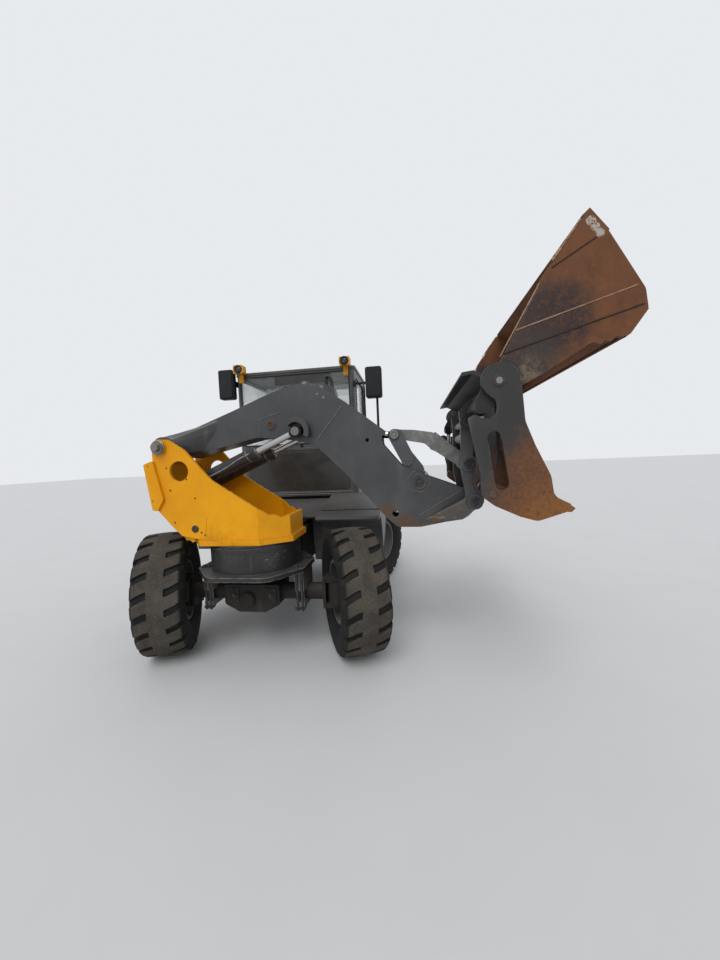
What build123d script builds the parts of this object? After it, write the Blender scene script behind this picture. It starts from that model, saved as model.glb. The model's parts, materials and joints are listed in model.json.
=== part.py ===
"""Swing-boom wheel loader with a four-in-one bucket, built as separate pieces.

Millimetres, +Z up. The machine faces -Y, its left side is +X. The origin is on the ground
under the slewing axis, which stands over the middle of the front axle. The boom is slewed
to the machine's left, so its side view lies in the XZ plane.
"""
from build123d import *
import math
import os

os.makedirs("parts", exist_ok=True)

# Wheels and axles
TYRE_D = 1076
TYRE_W = 400
TREAD_W = 372
BEAD_D = 508
TRACK = 1700
WHEELBASE = 2000
STEER_REST = 23.5
KINGPIN_X = 730
AXLE_TUBE_R = 72
YOKE_R = 92
KNUCKLE_R = 100
KNUCKLE_GAP = 6
HUB_R = 118
HUB_END_X = 866
DISC_T = 18
RIM_T = 12
FIT = 0.3

# Turret under the slewing ring
DRUM_R = 385
DRUM_BOTTOM_Z = 790
DRUM_TOP_Z = 998
DRUM_WALL = 30
TURRET_PLATE_R = 432
TURRET_PLATE_T = 37
STUD_X = 415
STUD_Y = 108
STUD_R = 12
CLAMP_T = 26

# Main frame
RAIL_X = 230
RAIL_W = 60
RAIL_BOTTOM_Z = 640
RAIL_TOP_Z = 1000
CAB_BEAM_X = 636
DECK_BOTTOM_Z = 1080
DECK_TOP_Z = 1126
FRAME_FRONT_Y = 390
FRAME_REAR_Y = WHEELBASE + 880

# Slewing console
CONSOLE_HALF = 310
CONSOLE_PLATE_T = 25
BASE_PLATE_BOTTOM_Z = 1020
BASE_PLATE_T = 48
BOW_START_X = 160
BOW_END_X = 378
BOW_HALF = 170
BOOM_PIVOT = (-650, 1835)
BOOM_PIVOT_R = 45
WALL_HOLE = (-494, 1636)
WALL_HOLE_R = 82
WALL_BOLT_HOLES = [(-604, 1665), (-433, 1568), (-582, 1480), (-367, 1410)]
COVER_HALF = 332
LIFT_BASE = (-582, 1460)

# Boom
BOOM_HALF = 130
BOOM_PLATE_T = 20
FOOT_HALF = 272
BOOM_HOLES = [((1041, 1822), 16), ((1246, 1221), 26)]
LIFT_EYE = (474, 1916)
TILT_BASE = (245, 1985)
ROCKER_PIVOT = (1440, 1476)
ROCKER_TOP = (1258, 1856)
NOSE_PIN = (1845, 1319)
LINK_PIN = (1806, 1607)
NOSE_HALF = 226
NOSE_R = 62
PIN_R = 30
PIN_FIT = 0.05
ROCKER_LUG_Y = (64, 90)
LINK_FORK_Y = (33, 57)
COUPLER_Y = (232, 258)
HOOK_PIN = (1800, 1905)
LOCK_PIN = (1872, 1470)

# Lift and tilt cylinders
LIFT_Y = 188
LIFT_BARREL_R = 52
LIFT_ROD_R = 27
LIFT_BARREL_L = 777
LIFT_EYE_R = 48
TILT_BARREL_R = 52
TILT_ROD_R = 30
TILT_BARREL_L = 760
TILT_REACH = 560
LIFT_REACH = 560
LIFT_STUB_Y = 150
NECK_R = 24
TILT_EYE_R = 50
EYE_HALF = 26

# Bucket
BUCKET_HALF = 960
BUCKET_PLATE_T = 25
INNER_PLATE_Y = 820
INNER_PLATE_T = 16
CLAM_GAP = 6
CLAM_PIVOT = (1866, 2063)
CLAM_LEVER = (-85, -137)
CLAM_BASE = (1795, 1480)
CLAM_CYL_Y = 862
CLAM_BARREL_R = 36
CLAM_ROD_R = 20
CLAM_BARREL_L = 320
CLAM_EYE_HALF = 22
CLAM_PIN_R = 32

# Cab
CAB_HALF = 745
CAB_FRONT_Y = 1300
CAB_REAR_Y = CAB_FRONT_Y + 1080
CAB_BOTTOM_Z = 1240
CAB_FLOOR_T = 50
CAB_SILL_Z = 1860
CAB_ROOF_Z = 2760
CAB_CORNER_R = 60
ROOF_T = 62
ROOF_RIM_T = 30
ROOF_OVER = 12
PILLAR = 62
WALL_T = 40
HEADER = 28
GLASS_T = 8
GLASS_GAP = 0.3
WINDOW_R = 40
SIDE_WINDOW_Z = CAB_SILL_Z - 220

DOOR_Y = (CAB_FRONT_Y + 89, CAB_REAR_Y - 255)
DOOR_Z = (CAB_BOTTOM_Z + 65, CAB_ROOF_Z - 50)
DOOR_GAP = 5
DOOR_HINGE = (CAB_HALF + 15, DOOR_Y[1] + 13)
DOOR_HINGE_Z = (1450, 2150)
# rows: x, z of the head's middle, foot of the lower arm or None
MIRRORS = [(985, 2555, 2010), (-830, 2650, None)]

# Body behind the cab
HOOD_HALF = 720
HOOD_FRONT_Y = CAB_REAR_Y + 20
HOOD_REAR_Y = FRAME_REAR_Y + 140
HOOD_TOP_Z = 1790
HOOD_T = 30
HOOD_HINGE = (HOOD_FRONT_Y - 2, HOOD_TOP_Z + 18)
HOOD_HINGE_X = (-450, 450)
HINGE_PIN_R = 7
ENGINE_Y = (HOOD_FRONT_Y + 30, FRAME_REAR_Y - 70)
WEIGHT_FRONT_Y = FRAME_REAR_Y + FIT
WEIGHT_REAR_Y = FRAME_REAR_Y + 180
WEIGHT_HALF = 900
WEIGHT_BOTTOM_Z = 600
FENDER_INNER_X = 420
FENDER_OUTER_X = 1062

AXLE_Z = TYRE_D / 2
SIDES = (1, -1)


def section(rows):
    """Closed outline from rows of (x, z, corner radius)."""
    points = [(x, z) for x, z, radius in rows]
    radii = [radius for x, z, radius in rows]
    return make_face(FilletPolyline(*points, radius=radii, close=True))


def slab(rows, y_low, y_high):
    """Side-view outline in XZ, as thick as from y_low to y_high."""
    plane = Plane(origin=(0, y_high, 0), x_dir=(1, 0, 0), z_dir=(0, -1, 0))
    return extrude(plane * section(rows), amount=y_high - y_low)


def slab_x(rows, x_low, x_high):
    """Outline of (y, z, radius) rows, as thick as from x_low to x_high."""
    plane = Plane(origin=(x_low, 0, 0), x_dir=(0, 1, 0), z_dir=(1, 0, 0))
    return extrude(plane * section(rows), amount=x_high - x_low)


def slab_z(rows, z_low, z_high):
    """Plan outline of (x, y, radius) rows, as thick as from z_low to z_high."""
    return extrude(Plane.XY.offset(z_low) * section(rows), amount=z_high - z_low)


def block(x_low, x_high, y_low, y_high, z_low, z_high):
    """Rectangular block between two corners."""
    size = (x_high - x_low, y_high - y_low, z_high - z_low)
    centre = ((x_low + x_high) / 2, (y_low + y_high) / 2, (z_low + z_high) / 2)
    return Pos(*centre) * Box(*size)


def pin_y(centre, radius, y_low, y_high):
    """Round bar along Y through (x, z)."""
    place = Pos(centre[0], (y_low + y_high) / 2, centre[1]) * Rot(90, 0, 0)
    return place * Cylinder(radius, y_high - y_low)


def rod(start, end, radius):
    """Round bar between two points in space."""
    line = Vector(*end) - Vector(*start)
    plane = Plane(origin=start, z_dir=line.normalized())
    return extrude(plane * Circle(radius), amount=line.length)


def both_sides(solid):
    """The solid and its mirror image across the boom's middle plane."""
    return [solid, mirror(solid, about=Plane.XZ)]


def left_right(solid):
    """The solid and its mirror image across the machine's middle plane."""
    return [solid, mirror(solid, about=Plane.YZ)]


def fuse(solids):
    """One shape from a list of solids."""
    body = solids[0]
    for solid in solids[1:]:
        body = body + solid
    return body


def along(start, end, distance):
    """Point (x, z) on the line from start to end, at a distance from start."""
    length = math.dist(start, end)
    share = distance / length
    return (start[0] + (end[0] - start[0]) * share, start[1] + (end[1] - start[1]) * share)


def save(shape, name):
    """Write one piece, or several solids that share a node."""
    if isinstance(shape, list):
        shape = Compound(children=[solid for part in shape for solid in part.solids()])
    export_step(shape, f"parts/{name}.step")


# Wheels: each corner is (name, side, axle position, steering angle)
CORNERS = [
    ("front_left", 1, 0, STEER_REST),
    ("front_right", -1, 0, STEER_REST),
    ("rear_left", 1, WHEELBASE, -STEER_REST),
    ("rear_right", -1, WHEELBASE, -STEER_REST),
]


def tyre():
    """Tyre round the X axis, centred on the origin."""
    outer = TYRE_D / 2
    bead = BEAD_D / 2
    half = TYRE_W / 2
    tread = TREAD_W / 2
    # rows: along the axle, from the axle, corner radius
    rows = [
        (-half * 0.72, bead + 4, 0),
        (-half * 0.72, bead + 30, 0),
        (-half, bead + 110, 60),
        (-tread, outer - 40, 12),
        (-tread + 14, outer - 9, 8),
        (0, outer, 300),
        (tread - 14, outer - 9, 8),
        (tread, outer - 40, 12),
        (half, bead + 110, 60),
        (half * 0.72, bead + 30, 0),
        (half * 0.72, bead + 4, 0),
    ]
    return revolve(Plane.XY * section(rows), Axis.X)


def rim():
    """Rim, disc and planet hub; +X is the outer side."""
    bead = BEAD_D / 2
    half = TYRE_W / 2 * 0.72
    flange = bead + 18
    disc_x = HUB_END_X - TRACK / 2 + FIT
    rows = [
        (-half - 14, bead - RIM_T, 0),
        (-half - 14, flange, 6),
        (-half - FIT, flange, 0),
        (-half - FIT, bead + 4 - FIT, 0),
        (half + FIT, bead + 4 - FIT, 0),
        (half + FIT, flange, 0),
        (half + 14, flange, 6),
        (half + 14, bead - RIM_T, 4),
        (half - 30, bead - RIM_T - 14, 10),
        (disc_x + DISC_T + 40, bead - 40, 10),
        (disc_x + DISC_T, bead - 70, 20),
        (disc_x + DISC_T, 150, 8),
        (disc_x + DISC_T + 52, 138, 10),
        (disc_x + DISC_T + 66, 70, 4),
        (disc_x + DISC_T + 84, 62, 6),
        (disc_x + DISC_T + 84, 0, 0),
        (disc_x, 0, 0),
        (disc_x, bead - 60, 20),
        (disc_x + 26, bead - RIM_T - 12, 16),
        (disc_x - 6, bead - RIM_T, 10),
    ]
    return revolve(Plane.XY * section(rows), Axis.X)


def knuckle():
    """Steering knuckle and hub carrier; the kingpin is at x = KINGPIN_X."""
    ball = Cylinder(KNUCKLE_R, 2 * YOKE_R - 2 * FIT)
    body = Pos(KINGPIN_X, 0, AXLE_Z) * ball
    carrier_rows = [
        (KINGPIN_X, 0, 0),
        (KINGPIN_X, 74, 0),
        (KINGPIN_X + 84, 74, 4),
        (KINGPIN_X + 88, HUB_R, 8),
        (HUB_END_X - 12, HUB_R, 8),
        (HUB_END_X, 100, 2),
        (HUB_END_X, 0, 0),
    ]
    carrier = Pos(0, 0, AXLE_Z) * revolve(Plane.XY * section(carrier_rows), Axis.X)
    return body + carrier


def steered(shape, side, axle_y, angle):
    """Turn a left-hand piece about its kingpin and set it on its corner."""
    if side < 0:
        shape = mirror(shape, about=Plane.YZ)
    kingpin = Pos(side * KINGPIN_X, axle_y, 0)
    return kingpin * Rot(0, 0, angle) * Pos(-side * KINGPIN_X, 0, 0) * shape


def wheels():
    """Tyres, rims and knuckles on their four corners."""
    place = Pos(TRACK / 2, 0, AXLE_Z)
    for name, side, axle_y, angle in CORNERS:
        save(steered(place * tyre(), side, axle_y, angle), f"tyre_{name}")
        save(steered(place * rim(), side, axle_y, angle), f"rim_{name}")
        save(steered(knuckle(), side, axle_y, angle), f"knuckle_{name}")


def axle(axle_y):
    """Axle housing with its tubes and the yokes that hold the knuckles."""
    tube_end = KINGPIN_X - KNUCKLE_R - KNUCKLE_GAP
    tube = Pos(0, 0, AXLE_Z) * Rot(0, 90, 0) * Cylinder(AXLE_TUBE_R, 2 * tube_end)
    rows = [
        (-270, AXLE_Z - 80, 30),
        (-140, AXLE_Z - 150, 40),
        (100, AXLE_Z - 150, 40),
        (230, AXLE_Z - 80, 30),
        (230, AXLE_Z + 90, 20),
        (-270, AXLE_Z + 90, 20),
    ]
    housing = slab(rows, -125, 135)
    nose = Pos(-60, -125, AXLE_Z - 40) * Rot(90, 0, 0) * Cylinder(70, 30)
    body = tube + housing + nose
    for side in SIDES:
        for level in SIDES:
            low = min(level * (YOKE_R), level * (YOKE_R + 38)) + AXLE_Z
            lug = block(0, KINGPIN_X - tube_end + 20, -70, 70, low, low + 38)
            lug = lug + Pos(KINGPIN_X - tube_end + 20, 0, low + 19) * Cylinder(70, 38)
            lug = Pos(tube_end - 20, 0, 0) * lug
            body = body + (lug if side > 0 else mirror(lug, about=Plane.YZ))
        end_low = AXLE_Z - YOKE_R - 38
        flange = block(tube_end - 26, tube_end, -78, 78, end_low, AXLE_Z + YOKE_R + 38)
        body = body + (flange if side > 0 else mirror(flange, about=Plane.YZ))
    return Pos(0, axle_y, 0) * body


def axle_clamps():
    """Studs that hang the front axle under the turret plate, with their clamp plates."""
    clamp_top = AXLE_Z - AXLE_TUBE_R
    stud_top = DRUM_BOTTOM_Z - TURRET_PLATE_T
    solids = []
    for x in (STUD_X, -STUD_X):
        saddle_low = AXLE_Z + AXLE_TUBE_R
        bore = Pos(x, 0, AXLE_Z) * Rot(0, 90, 0) * Cylinder(AXLE_TUBE_R + FIT, 120)
        saddle = block(x - 38, x + 38, -STUD_Y - 30, STUD_Y + 30, saddle_low - 30, stud_top)
        clamp = block(x - 38, x + 38, -STUD_Y - 30, STUD_Y + 30, clamp_top - CLAMP_T, clamp_top + 20)
        body = saddle + clamp - bore
        stud_low = clamp_top - CLAMP_T - 24
        for y in (STUD_Y, -STUD_Y):
            for dx in (-20, 20):
                middle = (stud_low + stud_top) / 2
                body = body + Pos(x + dx, y, middle) * Cylinder(STUD_R, stud_top - stud_low)
        solids.append(body)
    return solids


def turret():
    """Fixed drum with the plate under it that the axle is clamped to."""
    plate_rows = [
        (-STUD_X - 60, -160, 30),
        (-250, -TURRET_PLATE_R, 160),
        (250, -TURRET_PLATE_R, 160),
        (STUD_X + 60, -160, 30),
        (STUD_X + 60, 160, 20),
        (RAIL_X + RAIL_W + 10, FRAME_FRONT_Y - FIT, 10),
        (-RAIL_X - RAIL_W - 10, FRAME_FRONT_Y - FIT, 10),
        (-STUD_X - 60, 160, 20),
    ]
    plate = slab_z(plate_rows, DRUM_BOTTOM_Z - TURRET_PLATE_T, DRUM_BOTTOM_Z)
    wall_h = DRUM_TOP_Z - DRUM_BOTTOM_Z
    drum = Pos(0, 0, DRUM_BOTTOM_Z + wall_h / 2) * Cylinder(DRUM_R, wall_h)
    bore = Pos(0, 0, DRUM_BOTTOM_Z + wall_h / 2 + 10) * Cylinder(DRUM_R - DRUM_WALL, wall_h)
    ring_h = BASE_PLATE_BOTTOM_Z - DRUM_TOP_Z - FIT
    ring = Pos(0, 0, DRUM_TOP_Z + ring_h / 2) * Cylinder(DRUM_R - 15, ring_h)
    ring_bore = Pos(0, 0, DRUM_TOP_Z) * Cylinder(DRUM_R - 70, ring_h * 4)
    rim_band = Pos(0, 0, DRUM_TOP_Z - 11) * Cylinder(DRUM_R + 4, 22)
    rim_band = rim_band - Pos(0, 0, DRUM_TOP_Z - 11) * Cylinder(DRUM_R - 10, 30)
    return plate + (drum - bore) + rim_band + (ring - ring_bore)


def engine_deck():
    """Deck round the engine that carries the hood and rear arches."""
    deck = block(-CAB_BEAM_X - 1, CAB_BEAM_X + 1, CAB_REAR_Y - 90, FRAME_REAR_Y, DECK_BOTTOM_Z, DECK_TOP_Z)
    return deck - block(-310, 310, ENGINE_Y[0] - 10, ENGINE_Y[1] + 10, DECK_BOTTOM_Z - 10, DECK_TOP_Z + 10)


def frame():
    """Two rails with cross plates, from the turret back to the counterweight."""
    rail_rows = [
        (FRAME_FRONT_Y, RAIL_BOTTOM_Z + 60, 20),
        (700, RAIL_BOTTOM_Z, 40),
        (WHEELBASE - 420, RAIL_BOTTOM_Z, 40),
        (WHEELBASE - 300, RAIL_BOTTOM_Z + 60, 40),
        (WHEELBASE + 300, RAIL_BOTTOM_Z + 60, 40),
        (WHEELBASE + 420, RAIL_BOTTOM_Z, 40),
        (FRAME_REAR_Y, RAIL_BOTTOM_Z, 20),
        (FRAME_REAR_Y, RAIL_TOP_Z, 20),
        (FRAME_FRONT_Y, RAIL_TOP_Z, 20),
    ]
    solids = left_right(slab_x(rail_rows, RAIL_X, RAIL_X + RAIL_W))
    # rows: start y, end y, low z, high z
    cross = [
        (FRAME_FRONT_Y, FRAME_FRONT_Y + 30, 690, RAIL_TOP_Z),
        (1150, 1200, RAIL_BOTTOM_Z + 20, RAIL_TOP_Z - 60),
        (WHEELBASE - 200, WHEELBASE + 200, RAIL_TOP_Z - 110, RAIL_TOP_Z - 60),
        (FRAME_REAR_Y - 60, FRAME_REAR_Y, RAIL_BOTTOM_Z + 20, RAIL_TOP_Z - 20),
    ]
    for y_low, y_high, z_low, z_high in cross:
        solids.append(block(-RAIL_X - 5, RAIL_X + 5, y_low, y_high, z_low, z_high))
    hanger = block(-120, 120, WHEELBASE - 90, WHEELBASE + 90, AXLE_Z + 90, RAIL_TOP_Z - 80)
    solids.append(hanger)
    for y_low in (1330, 2200):
        for x_low in (-RAIL_X - RAIL_W, RAIL_X):
            post = block(x_low, x_low + RAIL_W, y_low, y_low + 70, RAIL_TOP_Z - 5, CAB_BOTTOM_Z - 60)
            solids.append(post)
        solids.append(block(-CAB_BEAM_X, CAB_BEAM_X, y_low, y_low + 70, CAB_BOTTOM_Z - 100, CAB_BOTTOM_Z))
    for x_low in (-CAB_BEAM_X, CAB_BEAM_X - 120):
        solids.append(block(x_low, x_low + 120, 1330, 2270, CAB_BOTTOM_Z - 60, CAB_BOTTOM_Z))
    for y_low in (2300, FRAME_REAR_Y - 60):
        for x_low in (-RAIL_X - RAIL_W, RAIL_X):
            solids.append(block(x_low, x_low + RAIL_W, y_low, y_low + 60, RAIL_TOP_Z - 5, DECK_BOTTOM_Z))
    return fuse(solids + [engine_deck()])


def console():
    """Open-topped slewing console: two side plates, a folded bow and a base plate."""
    wall_rows = [
        (BOOM_PIVOT[0] - 72, 1700, 0),
        (BOOM_PIVOT[0] - 72, BOOM_PIVOT[1] + 72, 62),
        (BOOM_PIVOT[0] + 75, BOOM_PIVOT[1] + 62, 60),
        (-438, 1807, 120),
        (-220, 1554, 200),
        (BOW_START_X, 1309, 0),
        (BOW_START_X, BASE_PLATE_BOTTOM_Z + 20, 0),
        (-331, BASE_PLATE_BOTTOM_Z + 46, 0),
        (-503, 1102, 10),
        (-562, 1158, 10),
        (-700, 1311, 30),
    ]
    inner = CONSOLE_HALF - CONSOLE_PLATE_T
    wall = slab(wall_rows, -CONSOLE_HALF, -inner)
    wall = wall - pin_y(WALL_HOLE, WALL_HOLE_R, -CONSOLE_HALF - 5, -inner + 5)
    for hole in WALL_BOLT_HOLES:
        wall = wall - pin_y(hole, 8, -CONSOLE_HALF - 5, -inner + 5)
    wall = wall + pin_y(BOOM_PIVOT, 58, -CONSOLE_HALF - 14, -inner)
    bow_rows = [
        (BOW_START_X, -CONSOLE_HALF, 0),
        (BOW_END_X, -BOW_HALF, 0),
        (BOW_END_X, BOW_HALF, 0),
        (BOW_START_X, CONSOLE_HALF, 0),
        (BOW_START_X, inner, 0),
        (BOW_END_X - CONSOLE_PLATE_T, BOW_HALF - 12, 0),
        (BOW_END_X - CONSOLE_PLATE_T, -BOW_HALF + 12, 0),
        (BOW_START_X, -inner, 0),
    ]
    bow = slab_z(bow_rows, BASE_PLATE_BOTTOM_Z + 20, 1309)
    bow_top_rows = [
        (BOW_START_X - 1, 1400, 0),
        (BOW_START_X - 1, 1309, 0),
        (190, 1290, 10),
        (226, 1254, 14),
        (262, 1256, 8),
        (312, 1224, 14),
        (352, 1240, 8),
        (BOW_END_X + 5, 1232, 0),
        (BOW_END_X + 5, 1400, 0),
    ]
    bow = bow - slab(bow_top_rows, -CONSOLE_HALF - 5, CONSOLE_HALF + 5)
    base_rows = [
        (-345, -CONSOLE_HALF - 24, 20),
        (BOW_START_X + 12, -CONSOLE_HALF - 24, 0),
        (BOW_END_X + 24, -BOW_HALF - 10, 0),
        (BOW_END_X + 24, BOW_HALF + 10, 0),
        (BOW_START_X + 12, CONSOLE_HALF + 24, 0),
        (-345, CONSOLE_HALF + 24, 20),
        (-470, 180, 40),
        (-470, -180, 40),
    ]
    base = slab_z(base_rows, BASE_PLATE_BOTTOM_Z, BASE_PLATE_BOTTOM_Z + BASE_PLATE_T)
    rear_rows = [
        (-712, 1700, 0),
        (-688, 1311, 0),
        (-550, 1150, 0),
        (-430, BASE_PLATE_BOTTOM_Z + 20, 0),
        (-400, BASE_PLATE_BOTTOM_Z + 40, 0),
        (-525, 1165, 0),
        (-660, 1322, 0),
        (-684, 1700, 0),
    ]
    rear = slab(rear_rows, -inner, inner)
    lug_rows = [
        (LIFT_BASE[0] - 60, LIFT_BASE[1] + 50, 45),
        (LIFT_BASE[0] + 60, LIFT_BASE[1] + 50, 45),
        (LIFT_BASE[0] + 110, 1050, 0),
        (LIFT_BASE[0] + 70, 1050, 0),
        (LIFT_BASE[0] - 95, 1320, 0),
    ]
    body = wall + mirror(wall, about=Plane.XZ) + bow + base + rear
    for y_low in (LIFT_Y - EYE_HALF - 8 - 22, LIFT_Y + EYE_HALF + 8):
        lug = slab(lug_rows, y_low, y_low + 22)
        body = body + lug + mirror(lug, about=Plane.XZ)
    pin = pin_y(LIFT_BASE, PIN_R, LIFT_Y - EYE_HALF - 34, LIFT_Y + EYE_HALF + 34)
    body = body + pin + mirror(pin, about=Plane.XZ)
    return body - pin_y(BOOM_PIVOT, BOOM_PIVOT_R + PIN_FIT, -CONSOLE_HALF - 40, CONSOLE_HALF + 40)


def console_cover():
    """Box-shaped cover that wraps the console's rear edge."""
    x, z = BOOM_PIVOT
    rows = [
        (x - 143, z - 134, 14),
        (x - 58, z - 106, 14),
        (x + 16, z - 424, 20),
        (x - 44, z - 520, 14),
        (x - 88, z - 512, 14),
    ]
    cover = slab(rows, -COVER_HALF, COVER_HALF)
    room = [
        (x - 72 - FIT, z + 100, 0),
        (x - 72 - FIT, z - 135, 0),
        (x - 52 - FIT, z - 528, 0),
        (x + 86 - FIT, z - 680, 0),
        (x + 250, z - 680, 0),
        (x + 250, z + 100, 0),
    ]
    return cover - slab(room, -CONSOLE_HALF - FIT, CONSOLE_HALF + FIT)


def boom():
    """Bent box boom with an open front for the tilt linkage and a flared nose."""
    outer_rows = [
        (BOOM_PIVOT[0] - 102, BOOM_PIVOT[1] - 100, 80),
        (BOOM_PIVOT[0] - 102, BOOM_PIVOT[1] + 105, 85),
        (-527, 1965, 150),
        (-87, 2120, 400),
        (175, 2219, 400),
        (454, 2312, 260),
        (650, 2285, 140),
        (869, 2141, 300),
        (1200, 1878, 14),
        (1159, 1847, 24),
        (1160, 1790, 60),
        (1311, 1607, 120),
        (1508, 1517, 200),
        (1775, 1414, 60),
        (NOSE_PIN[0] + 45, NOSE_PIN[1] + 42, 40),
        (NOSE_PIN[0] + 45, NOSE_PIN[1] - 62, 50),
        (1647, 1150, 300),
        (1444, 1112, 60),
        (1262, 1114, 50),
        (1192, 1174, 200),
        (858, 1556, 300),
        (610, 1806, 60),
        (380, 1862, 60),
        (115, 1888, 200),
        (-487, 1761, 300),
    ]
    body = slab(outer_rows, -BOOM_HALF, BOOM_HALF)
    inner = BOOM_HALF - BOOM_PLATE_T
    cavity_rows = [
        (150, 2185, 20),
        (454, 2286, 200),
        (640, 2260, 120),
        (869, 2112, 240),
        (1050, 1966, 0),
        (1120, 2060, 0),
        (1420, 1930, 0),
        (1900, 1600, 0),
        (1800, 1390, 0),
        (1660, 1330, 60),
        (1600, 1180, 60),
        (1444, 1136, 60),
        (1270, 1138, 50),
        (1206, 1190, 200),
        (872, 1572, 300),
        (622, 1830, 60),
        (380, 1890, 60),
        (150, 1912, 20),
    ]
    body = body - slab(cavity_rows, -inner, inner)
    rear_cut = slab([(-480, 1790, 40), (110, 1912, 40), (110, 2165, 40), (-480, 1960, 40)], -inner, inner)
    body = body - rear_cut
    tube_half = CONSOLE_HALF - CONSOLE_PLATE_T - 6
    pivot_tube = pin_y(BOOM_PIVOT, 88, -tube_half, tube_half)
    pivot_pin = pin_y(BOOM_PIVOT, BOOM_PIVOT_R, -CONSOLE_HALF - 30, CONSOLE_HALF + 30)
    nose = pin_y(NOSE_PIN, NOSE_R, -NOSE_HALF, NOSE_HALF)
    body = body + pivot_tube + pivot_pin + nose + flare() + mirror(flare(), about=Plane.XZ)
    lift_pin = pin_y(LIFT_EYE, 46, -LIFT_STUB_Y, -BOOM_HALF + 2)
    lift_pin = lift_pin + mirror(lift_pin, about=Plane.XZ)
    rocker_pin = pin_y(ROCKER_PIVOT, PIN_R, -BOOM_HALF - 16, BOOM_HALF + 16)
    tilt_pin = pin_y(TILT_BASE, PIN_R, -BOOM_HALF - 8, BOOM_HALF + 8)
    body = body + rocker_pin + tilt_pin + hood_boss() + mirror(hood_boss(), about=Plane.XZ)
    nose_pin = pin_y(NOSE_PIN, PIN_R, -NOSE_HALF - 60, NOSE_HALF + 60)
    body = body + nose_pin + lift_pin
    for ring_low in (-BOOM_HALF - 7, BOOM_HALF - 1):
        body = body + pin_y(ROCKER_PIVOT, 62, ring_low, ring_low + 8)
        body = body + pin_y(TILT_BASE, 44, ring_low, ring_low + 8)
    body = fuse([body, foot(), mirror(foot(), about=Plane.XZ), lifting_eye(), hose_bracket()])
    for hole, radius in BOOM_HOLES:
        body = body - pin_y(hole, radius, -BOOM_HALF - 5, BOOM_HALF + 5)
    return body


def foot():
    """Casting that widens the boom's foot from its near plate to the console wall."""
    x, z = BOOM_PIVOT
    root = Plane(origin=(x, -BOOM_HALF + 8, z), x_dir=(1, 0, 0), z_dir=(0, -1, 0))
    root_rows = [
        (-88, -72, 20),
        (-88, 84, 30),
        (110, 127, 60),
        (300, 184, 60),
        (455, 236, 20),
        (420, 130, 60),
        (350, 46, 60),
        (290, -40, 20),
        (90, -76, 30),
    ]
    tip = Plane(origin=(x, -FOOT_HALF, z), x_dir=(1, 0, 0), z_dir=(0, -1, 0))
    tip_rows = [
        (-76, -46, 16),
        (-72, 52, 16),
        (-30, 84, 16),
        (40, 88, 16),
        (86, 62, 16),
        (96, 30, 16),
        (92, -10, 16),
        (62, -54, 16),
        (-20, -80, 16),
    ]
    return loft([root * section(root_rows), tip * section(tip_rows)], ruled=True)


def lifting_eye():
    """Lifting eye that stands on the boom's hump."""
    rows = [(452, 2296, 0), (486, 2352, 22), (540, 2352, 22), (572, 2296, 0)]
    return slab(rows, -14, 14) - pin_y((513, 2326), 13, -20, 20)


def hose_bracket():
    """Bracket behind the hump with two hose loops that come back down to it."""
    bracket = slab([(676, 2255, 0), (690, 2312, 10), (770, 2276, 10), (786, 2195, 0)], -58, 58)
    bracket = bracket - slab([(700, 2150, 0), (704, 2290, 6), (764, 2262, 6), (764, 2150, 0)], -46, 46)
    solids = [bracket]
    for y in (-30, 12):
        line = FilletPolyline((712, y, 2280), (694, y, 2372), (738, y, 2372), (756, y, 2264), radius=20)
        solids.append(sweep(Plane(origin=(712, y, 2280), z_dir=(-18, 0, 92)) * Circle(11), path=line))
    return fuse(solids)


def hood_boss():
    """Half-round hood over the lift cylinder's eye, on the boom's near plate."""
    x, z = LIFT_EYE
    low = -LIFT_Y - EYE_HALF - 6
    shell = pin_y(LIFT_EYE, 112, low, -BOOM_HALF + 2)
    shell = shell - pin_y(LIFT_EYE, 74, low - 5, -BOOM_HALF)
    keep = slab([(x - 60, z + 20, 0), (x + 130, z - 60, 0), (x + 130, z + 130, 0), (x - 60, z + 130, 0)],
                low - 5, -BOOM_HALF + 5)
    return shell & keep


def flare():
    """Tapered housing that widens the boom's nose to the near nose bearing."""
    root = Plane(origin=(1440, -BOOM_HALF + 8, 1175), x_dir=(1, 0, 0), z_dir=(0, -1, 0))
    root_face = root * section([(0, -20, 8), (330, 90, 20), (400, 30, 20), (330, -10, 20), (60, -46, 8)])
    tip = Plane(origin=(NOSE_PIN[0], -NOSE_HALF, NOSE_PIN[1]), x_dir=(1, 0, 0), z_dir=(0, -1, 0))
    tip_face = tip * section([(-75, 0, 8), (-30, 50, 20), (40, 30, 20), (40, -40, 20), (-20, -62, 8)])
    return loft([root_face, tip_face], ruled=True)


def cylinder_barrel(base, tip, length, barrel_r, rod_r, eye_r, y):
    """Barrel with its base eye and gland, bored for the rod."""
    end = along(base, tip, length)
    start = along(base, tip, eye_r + 42)
    barrel = rod((start[0], y, start[1]), (end[0], y, end[1]), barrel_r)
    barrel = barrel + rod((base[0], y, base[1]), (start[0], y, start[1]), NECK_R)
    gland_start = along(base, tip, length - 60)
    gland = rod((gland_start[0], y, gland_start[1]), (end[0], y, end[1]), barrel_r + 6)
    bore_start = along(base, tip, eye_r + 55)
    bore_end = along(base, tip, length + 20)
    bore = rod((bore_start[0], y, bore_start[1]), (bore_end[0], y, bore_end[1]), rod_r + FIT)
    return barrel + gland - bore, pin_y(base, eye_r, y - EYE_HALF, y + EYE_HALF)


def cylinder_rod(base, tip, length, rod_r, eye_r, y, reach, eye_half=EYE_HALF):
    """Piston rod with its eye; reach is how far it goes into the barrel."""
    inside = along(base, tip, length - reach)
    shaft = rod((inside[0], y, inside[1]), (tip[0], y, tip[1]), rod_r)
    return shaft + pin_y(tip, eye_r, y - eye_half, y + eye_half)


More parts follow.
